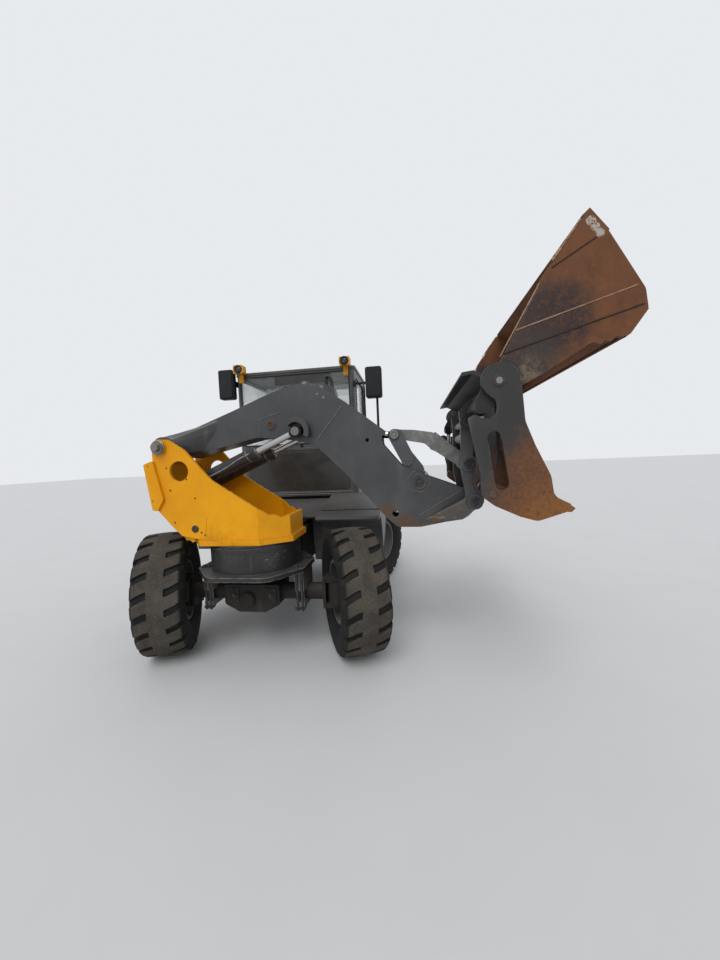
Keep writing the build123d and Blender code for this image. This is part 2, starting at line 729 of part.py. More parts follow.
def lift_cylinders():
    """Pair of lift cylinders between console and boom."""
    barrels = []
    rods = []
    for y in (-LIFT_Y, LIFT_Y):
        barrel, eye = cylinder_barrel(LIFT_BASE, LIFT_EYE, LIFT_BARREL_L, LIFT_BARREL_R, LIFT_ROD_R,
                                      LIFT_EYE_R, y)
        eye = eye - pin_y(LIFT_BASE, PIN_R + PIN_FIT, y - 100, y + 100)
        barrels.append(barrel + eye - pin_y(LIFT_BASE, PIN_R + PIN_FIT, y - 100, y + 100))
        piston = cylinder_rod(LIFT_BASE, LIFT_EYE, LIFT_BARREL_L, LIFT_ROD_R, LIFT_EYE_R, y, LIFT_REACH)
        rods.append(piston + pin_y(LIFT_EYE, PIN_R, y - EYE_HALF - 6, y + EYE_HALF + 6))
    save(barrels, "lift_barrels")
    save(rods, "lift_rods")


def tilt_cylinder():
    """Tilt cylinder inside the boom, from its base pin to the rocker."""
    barrel, eye = cylinder_barrel(TILT_BASE, ROCKER_TOP, TILT_BARREL_L, TILT_BARREL_R, TILT_ROD_R,
                                  TILT_EYE_R, 0)
    barrel = barrel + eye - pin_y(TILT_BASE, PIN_R + PIN_FIT, -100, 100)
    save(barrel, "tilt_barrel")
    shaft = cylinder_rod(TILT_BASE, ROCKER_TOP, TILT_BARREL_L, TILT_ROD_R, TILT_EYE_R, 0, TILT_REACH)
    save(shaft + pin_y(ROCKER_TOP, PIN_R, -EYE_HALF - 3, EYE_HALF + 3), "tilt_rod")


def rocker():
    """Two-lug rocker between the tilt cylinder and the link."""
    x, z = ROCKER_PIVOT
    lug_rows = [
        (ROCKER_TOP[0] - 50, ROCKER_TOP[1] - 20, 40),
        (ROCKER_TOP[0] - 30, ROCKER_TOP[1] + 50, 40),
        (ROCKER_TOP[0] + 50, ROCKER_TOP[1] + 40, 40),
        (x - 50, z + 240, 60),
        (x + 40, z + 120, 60),
        (x + 64, z + 10, 50),
        (x + 30, z - 62, 50),
        (x - 58, z - 34, 50),
        (x - 96, z + 90, 80),
        (x - 158, z + 210, 80),
    ]
    low, high = ROCKER_LUG_Y
    lug = slab(lug_rows, low, high)
    lug = lug + pin_y((x - 86, z + 172), 50, high - 2, high + 8)
    stub = pin_y(ROCKER_TOP, PIN_R, low - 3, high + 14)
    lug = lug + stub
    tube = pin_y(ROCKER_PIVOT, 52, -low - 4, low + 4)
    web_centre = along(ROCKER_PIVOT, ROCKER_TOP, 150)
    web = pin_y(web_centre, 44, -low - 4, low + 4)
    body = fuse([lug, mirror(lug, about=Plane.XZ), tube, web])
    return body - pin_y(ROCKER_PIVOT, PIN_R + PIN_FIT, -120, 120)


def link():
    """Bent link from the rocker to the quick coupler."""
    low, high = LINK_FORK_Y
    fork_rows = [
        (ROCKER_TOP[0] - 46, ROCKER_TOP[1] - 10, 30),
        (ROCKER_TOP[0] - 20, ROCKER_TOP[1] + 46, 24),
        (1420, 1888, 80),
        (1560, 1862, 40),
        (LINK_PIN[0] + 20, LINK_PIN[1] + 36, 0),
        (LINK_PIN[0] - 40, LINK_PIN[1] - 22, 0),
        (1540, 1742, 30),
        (1500, 1780, 40),
        (ROCKER_TOP[0] + 50, ROCKER_TOP[1] - 36, 40),
    ]
    body = slab(fork_rows, -high, high)
    slot_rows = [(1150, 1700, 0), (1510, 1700, 0), (1486, 1950, 0), (1150, 1950, 0)]
    body = body - slab(slot_rows, -low, low)
    sleeve_rows = [
        (1520, 1822, 6),
        (1582, 1864, 10),
        (LINK_PIN[0] + 22, LINK_PIN[1] + 44, 0),
        (LINK_PIN[0] - 46, LINK_PIN[1] - 14, 0),
        (1598, 1704, 10),
        (1538, 1732, 10),
        (1572, 1766, 6),
    ]
    body = body + slab(sleeve_rows, -high - 2, high + 2)
    body = body + pin_y(LINK_PIN, 56, -high - 3, high + 3)
    return body - pin_y(LINK_PIN, PIN_R + PIN_FIT, -100, 100)


def coupler():
    """Quick coupler: two side plates with cross tubes, link pin and lock pins."""
    rows = [
        (NOSE_PIN[0] - 56, NOSE_PIN[1] - 20, 40),
        (1770, 1420, 40),
        (1748, 1560, 60),
        (1752, 1900, 20),
        (1742, 1990, 20),
        (1824, 2080, 10),
        (1848, 2060, 10),
        (1800, 1990, 20),
        (1840, 1900, 30),
        (1836, 1640, 40),
        (1912, 1500, 50),
        (1918, 1440, 40),
        (NOSE_PIN[0] + 64, NOSE_PIN[1] - 10, 40),
        (NOSE_PIN[0] + 10, NOSE_PIN[1] - 66, 40),
    ]
    low, high = COUPLER_Y
    plate = slab(rows, low, high)
    boss = pin_y(LINK_PIN, 58, low, high + 16) + pin_y(NOSE_PIN, 56, low, high + 18)
    plate = plate + boss
    link_pin = pin_y(LINK_PIN, PIN_R, -high - 24, high + 24)
    spacer = pin_y(LINK_PIN, 44, LINK_FORK_Y[1] + 6, low + 2)
    hook = pin_y(HOOK_PIN, 34, -high - 62, high + 62)
    lock = pin_y(LOCK_PIN, 30, -high - 62, high + 62)
    tube = pin_y((1806, 1800), 44, -low - 2, low + 2)
    body = fuse([plate, mirror(plate, about=Plane.XZ), link_pin, spacer, mirror(spacer, about=Plane.XZ),
                 hook, lock, tube])
    return body - pin_y(NOSE_PIN, PIN_R + PIN_FIT, -high - 40, high + 40)


def side_plate_rows():
    """Outline of the bucket's rear side plate."""
    x, z = CLAM_PIVOT
    return [
        (x - 96, z - 10, 30),
        (x - 92, z + 96, 92),
        (x + 92, z + 96, 92),
        (1986, 1992, 60),
        (1997, 1840, 120),
        (2046, 1709, 60),
        (2125, 1538, 120),
        (2139, 1430, 60),
        (2222, 1386, 0),
        (2222, 1350, 10),
        (2054, 1295, 60),
        (1963, 1322, 30),
        (1833, 1383, 60),
        (1761, 1440, 40),
        (1761, 1560, 60),
        (1698, 1873, 20),
        (1735, 1888, 10),
        (1800, 1858, 50),
        (1856, 1880, 50),
        (1850, 1960, 50),
        (1800, 2000, 30),
    ]


def bucket_back():
    """Rear half of the bucket: side boxes, blade, top flange, lip and coupler lugs."""
    outer = slab(side_plate_rows(), BUCKET_HALF - BUCKET_PLATE_T, BUCKET_HALF)
    slot_rows = [(1794, 1795, 36), (1868, 1795, 36), (1914, 1470, 36), (1840, 1470, 36)]
    outer = outer - slab(slot_rows, BUCKET_HALF - 40, BUCKET_HALF + 5)
    inner_rows = [
        (1925, 1985, 30),
        (1990, 1985, 30),
        (1997, 1840, 120),
        (2046, 1709, 60),
        (2125, 1538, 120),
        (2139, 1430, 60),
        (2200, 1398, 0),
        (2200, 1350, 0),
        (2054, 1305, 60),
        (1963, 1332, 30),
        (1862, 1500, 60),
        (1885, 1700, 60),
    ]
    inner = slab(inner_rows, INNER_PLATE_Y - INNER_PLATE_T, INNER_PLATE_Y)
    blade_rows = [
        (1868, 1960, 200),
        (1880, 1700, 300),
        (1975, 1440, 200),
        (2110, 1352, 60),
        (2200, 1340, 0),
        (2200, 1366, 0),
        (2120, 1374, 60),
        (1995, 1452, 200),
        (1900, 1700, 300),
        (1886, 1960, 200),
        (1886, 2120, 0),
        (1868, 2120, 0),
    ]
    blade = slab(blade_rows, -INNER_PLATE_Y, INNER_PLATE_Y)
    flange_rows = [(1690, 2140, 6), (1760, 2150, 10), (1868, 2098, 10), (1886, 2110, 0), (1770, 2172, 20),
                   (1700, 2164, 6)]
    flange = slab(flange_rows, -INNER_PLATE_Y + 60, INNER_PLATE_Y - 60)
    lip_rows = [(2150, 1346, 0), (2225, 1342, 0), (2245, 1362, 4), (2225, 1378, 0), (2150, 1378, 0)]
    lip = slab(lip_rows, -BUCKET_HALF, BUCKET_HALF)
    base_tube = pin_y((1972, 1385), 50, -BUCKET_HALF + 2, BUCKET_HALF - 2)
    solids = [outer, mirror(outer, about=Plane.XZ), inner, mirror(inner, about=Plane.XZ), blade, flange,
              lip, base_tube]
    lug_rows = [
        (1770, 1960, 30),
        (1870, 1990, 10),
        (1875, 1700, 10),
        (1900, 1480, 10),
        (1930, 1430, 10),
        (1850, 1415, 40),
        (1826, 1500, 40),
        (1860, 1640, 60),
        (1856, 1820, 40),
        (1762, 1860, 40),
    ]
    lug = slab(lug_rows, COUPLER_Y[1] + 24, COUPLER_Y[1] + 50)
    for point, radius in ((HOOK_PIN, 34), (LOCK_PIN, 30)):
        lug = lug + pin_y(point, radius + 22, COUPLER_Y[1] + 24, COUPLER_Y[1] + 50)
    solids += both_sides(lug)
    base_lug_rows = [
        (CLAM_BASE[0] - 38, CLAM_BASE[1] + 20, 30),
        (CLAM_BASE[0] + 20, CLAM_BASE[1] + 40, 30),
        (1925, 1470, 0),
        (1925, 1400, 0),
        (CLAM_BASE[0] - 10, CLAM_BASE[1] - 42, 30),
    ]
    for y_low in (CLAM_CYL_Y - CLAM_EYE_HALF - 24, CLAM_CYL_Y + CLAM_EYE_HALF + 4):
        solids += both_sides(slab(base_lug_rows, y_low, y_low + 18))
    body = fuse(solids)
    clam_pin = pin_y(CLAM_PIVOT, CLAM_PIN_R, INNER_PLATE_Y - 40, BUCKET_HALF + 6)
    base_pin = pin_y(CLAM_BASE, 20, CLAM_CYL_Y - CLAM_EYE_HALF - 22, CLAM_CYL_Y + CLAM_EYE_HALF + 20)
    lug_rows = [
        (CLAM_PIVOT[0] - 60, CLAM_PIVOT[1] + 50, 40),
        (CLAM_PIVOT[0] + 60, CLAM_PIVOT[1] + 50, 40),
        (1990, 1940, 0),
        (1900, 1940, 0),
    ]
    pivot_lug = slab(lug_rows, INNER_PLATE_Y - INNER_PLATE_T, INNER_PLATE_Y)
    for solid in (clam_pin, base_pin, pivot_lug):
        body = body + solid + mirror(solid, about=Plane.XZ)
    for point, radius in ((HOOK_PIN, 34), (LOCK_PIN, 30)):
        body = body - pin_y(point, radius + FIT, -500, 500)
    return body


def clam():
    """Open front jaw of the bucket: side plates, floor, cutting edge and levers."""
    x, z = CLAM_PIVOT
    outline = [
        (x - 40, z + 60, 50),
        (x + 10, z + 96, 10),
        (2084, 2540, 6),
        (2092, 2578, 4),
        (2137, 2645, 4),
        (2170, 2678, 4),
        (2196, 2736, 4),
        (2266, 2826, 4),
        (2333, 2906, 0),
        (2423, 2791, 0),
        (2599, 2483, 60),
        (2613, 2377, 40),
        (2524, 2259, 0),
        (2490, 2246, 6),
        (2462, 2254, 6),
        (2434, 2229, 6),
        (2408, 2238, 6),
        (2388, 2218, 6),
        (2345, 2234, 6),
        (2106, 2092, 60),
        (x + 60, z - 62, 40),
        (x + 10, z - 80, 20),
        (x + CLAM_LEVER[0] + 40, z + CLAM_LEVER[1] - 30, 30),
        (x + CLAM_LEVER[0] - 40, z + CLAM_LEVER[1] - 30, 30),
        (x + CLAM_LEVER[0] - 36, z + CLAM_LEVER[1] + 40, 30),
    ]
    high = BUCKET_HALF - BUCKET_PLATE_T - CLAM_GAP
    plate = slab(outline, high - BUCKET_PLATE_T, high)
    plate = plate - pin_y(CLAM_PIVOT, CLAM_PIN_R + PIN_FIT, high - 60, high + 10)
    lever = (x + CLAM_LEVER[0], z + CLAM_LEVER[1])
    lever_pin = pin_y(lever, 20, high - BUCKET_PLATE_T - 11, high - 2)
    floor_rows = [
        (2333, 2906, 0),
        (2423, 2791, 0),
        (2599, 2483, 60),
        (2613, 2377, 40),
        (2524, 2259, 0),
        (2505, 2270, 0),
        (2590, 2380, 30),
        (2578, 2478, 50),
        (2404, 2780, 0),
        (2318, 2892, 0),
    ]
    floor = slab(floor_rows, -high, high)
    edge_rows = [(2300, 2880, 0), (2336, 2912, 3), (2430, 2792, 3), (2398, 2772, 0)]
    edge = slab(edge_rows, -high, high)
    back_rows = [(2505, 2245, 0), (2530, 2262, 0), (2614, 2380, 0), (2590, 2385, 0)]
    heel = slab(back_rows, -high, high)
    return fuse([plate, mirror(plate, about=Plane.XZ), floor, edge, heel, lever_pin,
                 mirror(lever_pin, about=Plane.XZ)])


def clam_cylinders():
    """Pair of cylinders in the side boxes that turn the jaw."""
    lever = (CLAM_PIVOT[0] + CLAM_LEVER[0], CLAM_PIVOT[1] + CLAM_LEVER[1])
    barrels = []
    rods = []
    for y in (-CLAM_CYL_Y, CLAM_CYL_Y):
        end = along(CLAM_BASE, lever, CLAM_BARREL_L)
        start = along(CLAM_BASE, lever, 60)
        barrel = rod((start[0], y, start[1]), (end[0], y, end[1]), CLAM_BARREL_R)
        barrel = barrel + rod((CLAM_BASE[0], y, CLAM_BASE[1]), (start[0], y, start[1]), 20)
        barrel = barrel + pin_y(CLAM_BASE, 36, y - CLAM_EYE_HALF, y + CLAM_EYE_HALF)
        bore_start = along(CLAM_BASE, lever, 70)
        bore_end = along(CLAM_BASE, lever, CLAM_BARREL_L + 10)
        bore = rod((bore_start[0], y, bore_start[1]), (bore_end[0], y, bore_end[1]), CLAM_ROD_R + FIT)
        barrel = barrel - bore - pin_y(CLAM_BASE, 20 + PIN_FIT, y - 50, y + 50)
        barrels.append(barrel)
        piston = cylinder_rod(CLAM_BASE, lever, CLAM_BARREL_L, CLAM_ROD_R, 34, y, 235, CLAM_EYE_HALF)
        rods.append(piston + pin_y(lever, 20, y - CLAM_EYE_HALF - 4, y + CLAM_EYE_HALF + 4))
    save(barrels, "clam_barrels")
    save(rods, "clam_rods")


def cab_plan(inset, radius):
    """Plan outline of the cab, moved in by inset."""
    half = CAB_HALF - inset
    front = CAB_FRONT_Y + inset
    rear = CAB_REAR_Y - inset
    return [(-half, front, radius), (half, front, radius), (half, rear, radius), (-half, rear, radius)]


def window_rows(low, high, bottom, top, radius=WINDOW_R):
    """Window outline with rounded corners."""
    return [(low, bottom, radius), (low, top, radius), (high, top, radius), (high, bottom, radius)]


def cab_windows(gap):
    """Outlines of the fixed windows, each side moved in by gap."""
    low = CAB_SILL_Z + 30 + gap
    high = CAB_ROOF_Z - HEADER - gap
    radius = WINDOW_R - gap
    front_x = CAB_HALF - PILLAR - gap
    rear_x = CAB_HALF - 90 - gap
    side_low = SIDE_WINDOW_Z + gap
    return {
        "front": window_rows(-front_x, front_x, low, high, radius),
        "rear": window_rows(-rear_x, rear_x, low, high, radius),
        "right": window_rows(CAB_FRONT_Y + 90 + gap, CAB_REAR_Y - 110 - gap, side_low, high, radius),
        "behind_door": window_rows(DOOR_Y[1] + 55 + gap, CAB_REAR_Y - 60 - gap, low, high, radius),
    }


def cab_shell():
    """Cab floor, front panel, pillars and rear wall, open at the door."""
    outer = slab_z(cab_plan(0, CAB_CORNER_R), CAB_BOTTOM_Z, CAB_ROOF_Z)
    inner = slab_z(cab_plan(WALL_T, CAB_CORNER_R - WALL_T), CAB_BOTTOM_Z + CAB_FLOOR_T, CAB_ROOF_Z + 10)
    shell = outer - inner
    windows = cab_windows(0)
    reach = WALL_T + 10
    shell = shell - slab(windows["front"], CAB_FRONT_Y - 10, CAB_FRONT_Y + reach)
    shell = shell - slab(windows["rear"], CAB_REAR_Y - reach, CAB_REAR_Y + 10)
    shell = shell - slab_x(windows["right"], -CAB_HALF - 10, -CAB_HALF + reach)
    shell = shell - slab_x(windows["behind_door"], CAB_HALF - reach, CAB_HALF + 10)
    door_low = (DOOR_Y[0] - DOOR_GAP, DOOR_Z[0] - DOOR_GAP)
    door_high = (DOOR_Y[1] + DOOR_GAP, DOOR_Z[1] + DOOR_GAP)
    opening = window_rows(door_low[0], door_high[0], door_low[1], door_high[1])
    shell = shell - slab_x(opening, CAB_HALF - reach, CAB_HALF + 10)
    panel_rows = [(-CAB_HALF + 90, 1300, 24), (-CAB_HALF + 90, 1790, 60), (CAB_HALF - 90, 1790, 60),
                  (CAB_HALF - 90, 1300, 24)]
    shell = shell - slab(panel_rows, CAB_FRONT_Y - 10, CAB_FRONT_Y + 7)
    sill = slab([(-CAB_HALF + 70, 1812, 8), (-CAB_HALF + 70, 1840, 8), (CAB_HALF - 70, 1840, 8),
                 (CAB_HALF - 70, 1812, 8)], CAB_FRONT_Y - 12, CAB_FRONT_Y + 4)
    shell = shell + sill
    x, y = DOOR_HINGE
    for z in DOOR_HINGE_Z:
        foot_plate = block(CAB_HALF - 5, x, y + 2, y + 14, z - 60, z - 34)
        foot_plate = foot_plate + block(CAB_HALF - 5, x, y + 2, y + 14, z + 34, z + 60)
        ends = Pos(x, y, z - 47) * Cylinder(12, 26) + Pos(x, y, z + 47) * Cylinder(12, 26)
        shell = shell + foot_plate + ends + Pos(x, y, z) * Cylinder(HINGE_PIN_R, 110)
    y, z = HOOD_HINGE
    for x in HOOD_HINGE_X:
        pin = Pos(x, y, z) * Rot(0, 90, 0) * Cylinder(HINGE_PIN_R, 150)
        for low in (x - 75, x + 55):
            pin = pin + block(low, low + 20, CAB_REAR_Y - 5, y + 10, z - 12, z + 12)
        shell = shell + pin
    return shell


def cab_roof():
    """Roof panel with a thin rim and a raised middle, resting on the pillars."""
    low = CAB_ROOF_Z + FIT
    rim_rows = cab_plan(-ROOF_OVER, CAB_CORNER_R + ROOF_OVER)
    roof = slab_z(rim_rows, low, CAB_ROOF_Z + ROOF_RIM_T)
    crown_rows = [
        (-CAB_HALF + 40, low + 4, 0),
        (-CAB_HALF + 90, CAB_ROOF_Z + ROOF_T, 40),
        (CAB_HALF - 90, CAB_ROOF_Z + ROOF_T, 40),
        (CAB_HALF - 40, low + 4, 0),
    ]
    crown = slab(crown_rows, CAB_FRONT_Y + 10, CAB_REAR_Y)
    side_rows = [
        (CAB_FRONT_Y + 60, low + 4, 0),
        (CAB_FRONT_Y + 150, CAB_ROOF_Z + ROOF_T + 1, 60),
        (CAB_REAR_Y - 60, CAB_ROOF_Z + ROOF_T + 1, 30),
        (CAB_REAR_Y - 30, low + 4, 0),
    ]
    return roof + (crown & slab_x(side_rows, -CAB_HALF, CAB_HALF))


def cab_glass():
    """Fixed panes: windscreen, rear pane, right-hand pane and the pane behind the door."""
    panes = cab_windows(GLASS_GAP)
    mid = CAB_REAR_Y - WALL_T / 2
    return [
        slab(panes["front"], CAB_FRONT_Y + 6, CAB_FRONT_Y + 6 + GLASS_T),
        slab(panes["rear"], mid, mid + GLASS_T),
        slab_x(panes["right"], -CAB_HALF + 8, -CAB_HALF + 8 + GLASS_T),
        slab_x(panes["behind_door"], CAB_HALF - 8 - GLASS_T, CAB_HALF - 8),
    ]


def door_window(gap):
    """Outline of the door's window, each side moved in by gap."""
    low = DOOR_Z[0] + 260 + gap
    high = DOOR_Z[1] - 45 - gap
    return window_rows(DOOR_Y[0] + 50 + gap, DOOR_Y[1] - 50 - gap, low, high, WINDOW_R - gap)


def door():
    """Cab door frame with its lower panel and window opening."""
    body = slab_x(window_rows(*DOOR_Y, *DOOR_Z), CAB_HALF - WALL_T, CAB_HALF)
    body = body - slab_x(door_window(0), CAB_HALF - WALL_T - 5, CAB_HALF + 5)
    handle_y = DOOR_Y[0] + 60
    handle_z = DOOR_Z[0] + 190
    handle_rows = [
        (CAB_HALF - 4, handle_y, 0),
        (CAB_HALF + 34, handle_y, 14),
        (CAB_HALF + 34, handle_y + 110, 14),
        (CAB_HALF - 4, handle_y + 110, 0),
    ]
    handle = slab_z(handle_rows, handle_z, handle_z + 25)
    grip_gap = (CAB_HALF, CAB_HALF + 22, handle_y + 14, handle_y + 96)
    handle = handle - block(*grip_gap, handle_z - 5, handle_z + 30)
    body = body + handle
    x, y = DOOR_HINGE
    for z in DOOR_HINGE_Z:
        leaf = block(CAB_HALF - 2, x - 3, DOOR_Y[1] - 30, DOOR_Y[1], z - 32, z + 32)
        leaf = leaf + block(CAB_HALF + 2, x - 3, DOOR_Y[1] - 30, y - 3, z - 32, z + 32)
        knuckle_tube = Pos(x, y, z) * Cylinder(12, 64)
        body = body + leaf + block(x - 10, x, y - 20, y, z - 32, z + 32) + knuckle_tube
        body = body - Pos(x, y, z) * Cylinder(HINGE_PIN_R + PIN_FIT, 70)
    return body


def door_glass():
    """Door pane in its frame."""
    return slab_x(door_window(GLASS_GAP), CAB_HALF - 8 - GLASS_T, CAB_HALF - 8)


def fenders():
    """Front platforms with mudguards, and rear wheel arches."""
    front_rows = [
        (430, 1085, 8),
        (455, 1112, 12),
        (CAB_FRONT_Y - FIT, 1266, 0),
        (CAB_FRONT_Y - FIT, 1242, 0),
        (640, 1108, 60),
        (740, 960, 80),
        (790, 720, 0),
        (766, 720, 0),
        (712, 955, 90),
        (610, 1082, 70),
    ]
    front = slab_x(front_rows, FENDER_INNER_X, FENDER_OUTER_X)
    skirt_rows = [
        (610, 1084, 20),
        (660, 1146, 20),
        (CAB_FRONT_Y - FIT, 1262, 0),
        (CAB_FRONT_Y - FIT, 1010, 40),
        (1110, 830, 120),
        (800, 722, 0),
        (768, 722, 0),
        (716, 958, 80),
    ]
    front = front + slab_x(skirt_rows, FENDER_OUTER_X - 22, FENDER_OUTER_X)
    lip = Pos(0, 441, 1088) * Rot(0, 90, 0) * Cylinder(17, FENDER_OUTER_X - FENDER_INNER_X - 6)
    front = front + Pos((FENDER_OUTER_X + FENDER_INNER_X) / 2, 0, 0) * lip
    middle_rows = [
        (636, 1072, 0),
        (636, 1096, 20),
        (1000, 1190, 60),
        (CAB_FRONT_Y - FIT, 1206, 0),
        (CAB_FRONT_Y - FIT, 1186, 0),
        (1000, 1170, 60),
    ]
    middle = slab_x(middle_rows, -FENDER_INNER_X - 2, FENDER_INNER_X + 2)
    # rows: along the machine from the axle, height, corner radius
    arch_half = [(350, 1105, 150), (560, 985, 120), (640, 868, 20)]
    inside = [(WHEELBASE + y, z, r) for y, z, r in arch_half]
    inside += [(WHEELBASE + 664, 868, 4), (WHEELBASE + 582, 1000, 130), (WHEELBASE + 358, 1131, 160)]
    front_half = [(WHEELBASE - 358, 1131, 160), (WHEELBASE - 582, 1000, 130), (WHEELBASE - 664, 868, 4)]
    front_half += [(WHEELBASE - y, z, r) for y, z, r in reversed(arch_half)]
    arch = slab_x(inside + front_half, CAB_BEAM_X + 1 + FIT, FENDER_OUTER_X)
    return [fuse(left_right(front) + [middle])] + left_right(arch)


def steps():
    """Tank and step box on each side, between the wheels."""
    rows = [
        (800, 1060, 30),
        (1255, 1060, 30),
        (1275, 900, 60),
        (1275, 560, 40),
        (840, 560, 60),
    ]
    tank = slab_x(rows, RAIL_X + RAIL_W + FIT, 700)
    solids = left_right(tank)
    for side in SIDES:
        for low, depth in ((470, 250), (760, 210)):
            x_low = min(side * 690, side * (690 + depth))
            solids.append(block(x_low, x_low + depth, 880, 1270, low, low + 30))
        x_low = min(side * 690, side * 900)
        for y in (880, 1250):
            solids.append(block(x_low, x_low + 210, y, y + 20, 470, 790))
    return [fuse(solids[0:1] + [s for s in solids[2:] if s.center().X > 0]),
            fuse(solids[1:2] + [s for s in solids[2:] if s.center().X < 0])]


def hood_arch(inset):
    """Front view of the hood with its rounded shoulders, moved in by inset."""
    half = HOOD_HALF - inset
    top = HOOD_TOP_Z + 20 - inset
    rows = [
        (-half, DECK_BOTTOM_Z, 0),
        (-half, top, 120 - inset),
        (half, top, 120 - inset),
        (half, DECK_BOTTOM_Z, 0),
    ]
    return slab(rows, HOOD_FRONT_Y - 60, HOOD_REAR_Y + 60)


def hood():
    """Engine hood, open below, with grille slots at the sides and back."""
    rows = [
        (HOOD_FRONT_Y, DECK_TOP_Z + FIT, 0),
        (HOOD_FRONT_Y, HOOD_TOP_Z, 10),
        (HOOD_REAR_Y - 180, HOOD_TOP_Z - 50, 120),
        (HOOD_REAR_Y, 1480, 80),
        (HOOD_REAR_Y, DECK_TOP_Z + FIT, 0),
    ]
    outer = slab_x(rows, -HOOD_HALF, HOOD_HALF) & hood_arch(0)
    inner_rows = [
        (HOOD_FRONT_Y - 20, 1100, 0),
        (HOOD_FRONT_Y - 20, HOOD_TOP_Z - HOOD_T, 0),
        (HOOD_REAR_Y - 190, HOOD_TOP_Z - 50 - HOOD_T, 110),
        (HOOD_REAR_Y - HOOD_T, 1475, 70),
        (HOOD_REAR_Y - HOOD_T, 1100, 0),
    ]
    body = outer - (slab_x(inner_rows, -HOOD_HALF + HOOD_T, HOOD_HALF - HOOD_T) & hood_arch(HOOD_T))
    for i in range(7):
        z = 1210 + i * 42
        slot_y = (HOOD_FRONT_Y + 160, HOOD_REAR_Y - 160)
        body = body - block(-HOOD_HALF - 10, HOOD_HALF + 10, *slot_y, z, z + 18)
        body = body - block(-420, 420, HOOD_REAR_Y - 60, HOOD_REAR_Y + 10, z - 10, z + 8)
    y, z = HOOD_HINGE
    for x in HOOD_HINGE_X:
        barrel = Pos(x, y, z) * Rot(0, 90, 0) * Cylinder(13, 104)
        leaf = block(x - 52, x + 52, y, y + 60, HOOD_TOP_Z - 8, z - 6)
        body = body + leaf + barrel - Pos(x, y, z) * Rot(0, 90, 0) * Cylinder(HINGE_PIN_R + PIN_FIT, 110)
    return body


def counterweight():
    """Cast counterweight across the rear."""
    rows = [
        (-WEIGHT_HALF, WEIGHT_FRONT_Y, 0),
        (-WEIGHT_HALF, WEIGHT_REAR_Y - 60, 60),
        (-WEIGHT_HALF + 200, WEIGHT_REAR_Y + 60, 60),
        (WEIGHT_HALF - 200, WEIGHT_REAR_Y + 60, 60),
        (WEIGHT_HALF, WEIGHT_REAR_Y - 60, 60),
        (WEIGHT_HALF, WEIGHT_FRONT_Y, 0),
    ]
    body = slab_z(rows, WEIGHT_BOTTOM_Z, DECK_TOP_Z)
    side_rows = [
        (WEIGHT_FRONT_Y - 5, WEIGHT_BOTTOM_Z, 0),
        (WEIGHT_FRONT_Y - 5, DECK_TOP_Z + 5, 0),
        (WEIGHT_REAR_Y + 61, DECK_TOP_Z + 5, 30),
        (WEIGHT_REAR_Y + 61, WEIGHT_BOTTOM_Z + 170, 90),
        (WEIGHT_REAR_Y - 60, WEIGHT_BOTTOM_Z, 40),
    ]
    body = body & slab_x(side_rows, -WEIGHT_HALF - 5, WEIGHT_HALF + 5)
    tow_rows = [(-60, WEIGHT_REAR_Y - 40, 0), (60, WEIGHT_REAR_Y - 40, 0), (60, WEIGHT_REAR_Y + 70, 0),
                (-60, WEIGHT_REAR_Y + 70, 0)]
    return body - slab_z(tow_rows, 790, 880)


def engine():
    """Engine as one plain block on the rails."""
    return block(-300, 300, *ENGINE_Y, RAIL_TOP_Z + FIT, 1580)


def seat():
    """Driver's seat on its pedestal."""
    pedestal = block(-180, 180, 1900, 2150, CAB_BOTTOM_Z + CAB_FLOOR_T + FIT, 1575)
    cushion = slab_x([(1780, 1560, 20), (1780, 1650, 40), (2215, 1650, 20), (2215, 1560, 20)], -250, 250)
    back_rows = [(2165, 1610, 10), (2228, 2250, 40), (2300, 2250, 30), (2262, 1580, 20)]
    back = slab_x(back_rows, -235, 235)
    return fuse([pedestal, cushion, back])


def controls():
    """Steering column with its wheel, and the armrest with the joystick."""
    base = block(-90, 90, 1420, 1560, CAB_BOTTOM_Z + CAB_FLOOR_T + FIT, 1500)
    column = rod((0, 1500, 1480), (0, 1640, 1900), 32)
    axis = Vector(0, 140, 420).normalized()
    wheel_plane = Plane(origin=(0, 1640, 1900), x_dir=(1, 0, 0), z_dir=(axis.X, axis.Y, axis.Z))
    wheel = wheel_plane * Torus(175, 14)
    spoke = wheel_plane * Box(350, 30, 12)
    spoke_2 = wheel_plane * Box(30, 350, 12)
    armrest = block(-460, -300, 1780, 2240, CAB_BOTTOM_Z + CAB_FLOOR_T + FIT, 1690)
    stick = Pos(-380, 1840, 1760) * Cylinder(18, 160)
    return [fuse([base, column, wheel, spoke, spoke_2]), armrest + stick]


def lamps():
    """Work lamps at the roof's front corners, and tail lamps on the counterweight."""
    solids = []
    front = CAB_FRONT_Y - ROOF_OVER - FIT
    for side in SIDES:
        x = side * 655
        mount = block(x - 26, x + 26, front - 34, front, CAB_ROOF_Z - 90, CAB_ROOF_Z + 40)
        head_rows = [
            (x - 62, CAB_ROOF_Z + 8, 16),
            (x - 62, CAB_ROOF_Z + 108, 16),
            (x + 62, CAB_ROOF_Z + 108, 16),
            (x + 62, CAB_ROOF_Z + 8, 16),
        ]
        head = slab(head_rows, front - 108, front - 12)
        face = Pos(x, front - 108, CAB_ROOF_Z + 58) * Rot(90, 0, 0) * Cylinder(40, 40)
        solids.append(head + mount - face)
        x = side * 780
        solids.append(block(x - 60, x + 60, WEIGHT_REAR_Y - 150, WEIGHT_REAR_Y - 40, DECK_TOP_Z + FIT,
                            DECK_TOP_Z + 104))
    return solids


